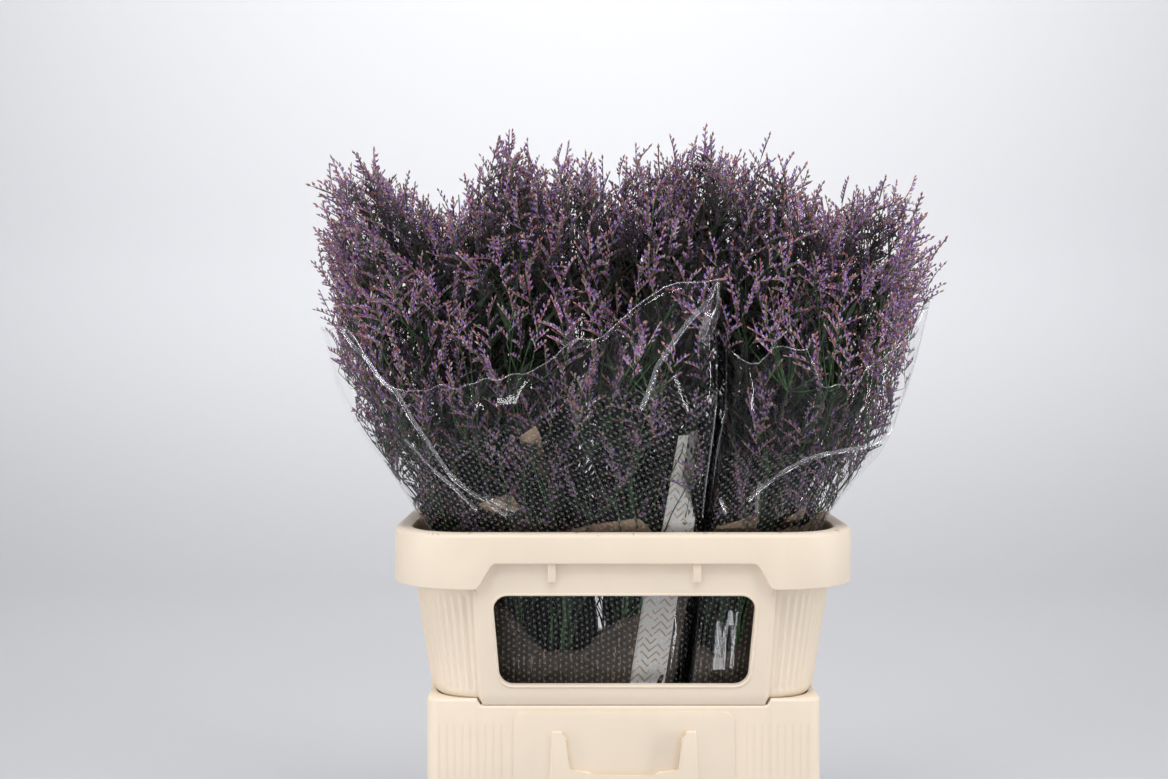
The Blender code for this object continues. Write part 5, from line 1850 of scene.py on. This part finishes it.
def build_lights(look):
    """Soft boxes in front and above, thin lights that draw streaks on the film, and one on the wall."""
    middle = (0, 0, 0.5)
    area_light("left_softbox", (-1.9, -1.7, 1.7), middle, (0.45, 1.7), look.key_power)
    area_light("right_softbox", (1.9, -1.6, 1.8), middle, (0.45, 1.7), look.key_power)
    area_light("top_softbox", (0.0, -1.2, 2.5), middle, (1.8, 0.9), look.top_power * 1.22)
    film, upward = (0, -0.1, 0.55), 3.0
    for name, place, target, size in (
            ("left_strip", (-1.5, -0.55, 0.50), film, (0.08, 0.9)),
            ("right_strip", (1.5, -0.35, 0.50), film, (0.08, 0.9)),
            ("left_low_strip", (-0.42, -1.15, 0.02), (-0.42, -1.15, upward), (0.035, 0.8)),
            ("right_low_strip", (0.30, -1.15, 0.02), (0.30, -1.15, upward), (0.035, 0.8))):
        area_light(name, place, target, size, STRIP_GLOW * math.pi * size[0] * size[1])
    area_light("wall_light", (0.0, 1.3, 3.2), (0, 3.6, 1.5), (4.5, 0.7), look.top_power * 2.1)


def build_world():
    """Pale light from all round, and a plain bright ground where the camera looks past the backdrop."""
    world = bpy.data.worlds.new("studio")
    world.use_nodes = True
    w = Wiring(world.node_tree)
    way = w.add("ShaderNodeTexCoord").outputs["Generated"]
    rise = w.between(w.add("ShaderNodeSeparateXYZ", {0: way}).outputs["Z"], -0.1, 0.9)
    sky = w.mix(rise, (0.16, 0.16, 0.17, 1), (0.80, 0.82, 0.86, 1))
    background = world.node_tree.nodes["Background"]
    seen = w.add("ShaderNodeLightPath").outputs["Is Camera Ray"]
    w.feed(background.inputs["Color"], w.mix(seen, sky, (1.50, 1.51, 1.56, 1)))
    background.inputs["Strength"].default_value = 0.50
    bpy.context.scene.world = world


def build_stage():
    """Floor and backdrop, the camera, the lights and the colour settings."""
    build_sweep(backdrop_material())
    build_camera()
    build_lights(bpy.context.scene.statice_stage)
    build_world()
    scene = bpy.context.scene
    scene.view_settings.view_transform = "Standard"
    scene.cycles.transparent_max_bounces = 48
    scene.cycles.max_bounces = 8


# Operators


class STATICE_OT_bucket(bpy.types.Operator):
    """Build the moulded flower bucket"""

    bl_idname = "statice.bucket"
    bl_label = "Bucket"

    def execute(self, context):
        build_bucket()
        return {"FINISHED"}


class STATICE_OT_collar(bpy.types.Operator):
    """Build the windowed collar"""

    bl_idname = "statice.collar"
    bl_label = "Collar"

    def execute(self, context):
        build_collar()
        return {"FINISHED"}


class STATICE_OT_sleeves(bpy.types.Operator):
    """Build the four clear sleeves with their seams, beads and folds"""

    bl_idname = "statice.sleeves"
    bl_label = "Sleeves"

    def execute(self, context):
        look = context.scene.statice_film
        materials = [film_material("clear_sleeve_film", look.haze, 0.30, 0.05, 0.26),
                     film_material("welded_film_edge", 0.21, 1.2, 0.20, 0.04)]
        for name in BUNCHES:
            build_sleeve(name, materials)
        return {"FINISHED"}


class STATICE_OT_papers(bpy.types.Operator):
    """Build the brown paper liners and the printed strip"""

    bl_idname = "statice.papers"
    bl_label = "Papers"

    def execute(self, context):
        material = kraft_material()
        for name in BUNCHES:
            build_liner(name, material)
        build_strip(strip_material())
        return {"FINISHED"}


class STATICE_OT_bands(bpy.types.Operator):
    """Build the elastic bands that tie the stems"""

    bl_idname = "statice.bands"
    bl_label = "Elastic bands"

    def execute(self, context):
        material = rubber_material()
        for name in BUNCHES:
            build_band(name, material)
        return {"FINISHED"}


class STATICE_OT_stems(bpy.types.Operator):
    """Grow the stems of statice with their sprays and flower spikes"""

    bl_idname = "statice.stems"
    bl_label = "Flowering stems"

    def execute(self, context):
        build_statice()
        return {"FINISHED"}


class STATICE_OT_stage(bpy.types.Operator):
    """Set up the floor, the backdrop, the lights and the camera"""

    bl_idname = "statice.stage"
    bl_label = "Stage"

    def execute(self, context):
        build_stage()
        return {"FINISHED"}


OPERATORS = (STATICE_OT_stage, STATICE_OT_bucket, STATICE_OT_collar, STATICE_OT_sleeves,
             STATICE_OT_papers, STATICE_OT_bands, STATICE_OT_stems)


class STATICE_PT_panel(bpy.types.Panel):
    """The pieces of the statice bucket and their settings"""

    bl_idname = "STATICE_PT_panel"
    bl_label = "Dried statice"
    bl_space_type = "VIEW_3D"
    bl_region_type = "UI"
    bl_category = "Statice"

    def draw(self, context):
        for operator in OPERATORS:
            self.layout.operator(operator.bl_idname)
        for key, look in LOOKS.items():
            box = self.layout.box()
            for name in look.__annotations__:
                box.prop(getattr(context.scene, key), name)


CLASSES = (*LOOKS.values(), *OPERATORS, STATICE_PT_panel)


def register():
    for made in CLASSES:
        bpy.utils.register_class(made)
    for key, look in LOOKS.items():
        setattr(bpy.types.Scene, key, PointerProperty(type=look))


def unregister():
    for key in LOOKS:
        delattr(bpy.types.Scene, key)
    for made in reversed(CLASSES):
        bpy.utils.unregister_class(made)


def main():
    """Builds every piece in order."""
    register()
    bpy.ops.statice.stage()
    bpy.ops.statice.bucket()
    bpy.ops.statice.collar()
    bpy.ops.statice.sleeves()
    bpy.ops.statice.papers()
    bpy.ops.statice.bands()
    bpy.ops.statice.stems()
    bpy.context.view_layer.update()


if __name__ == "__main__":
    main()
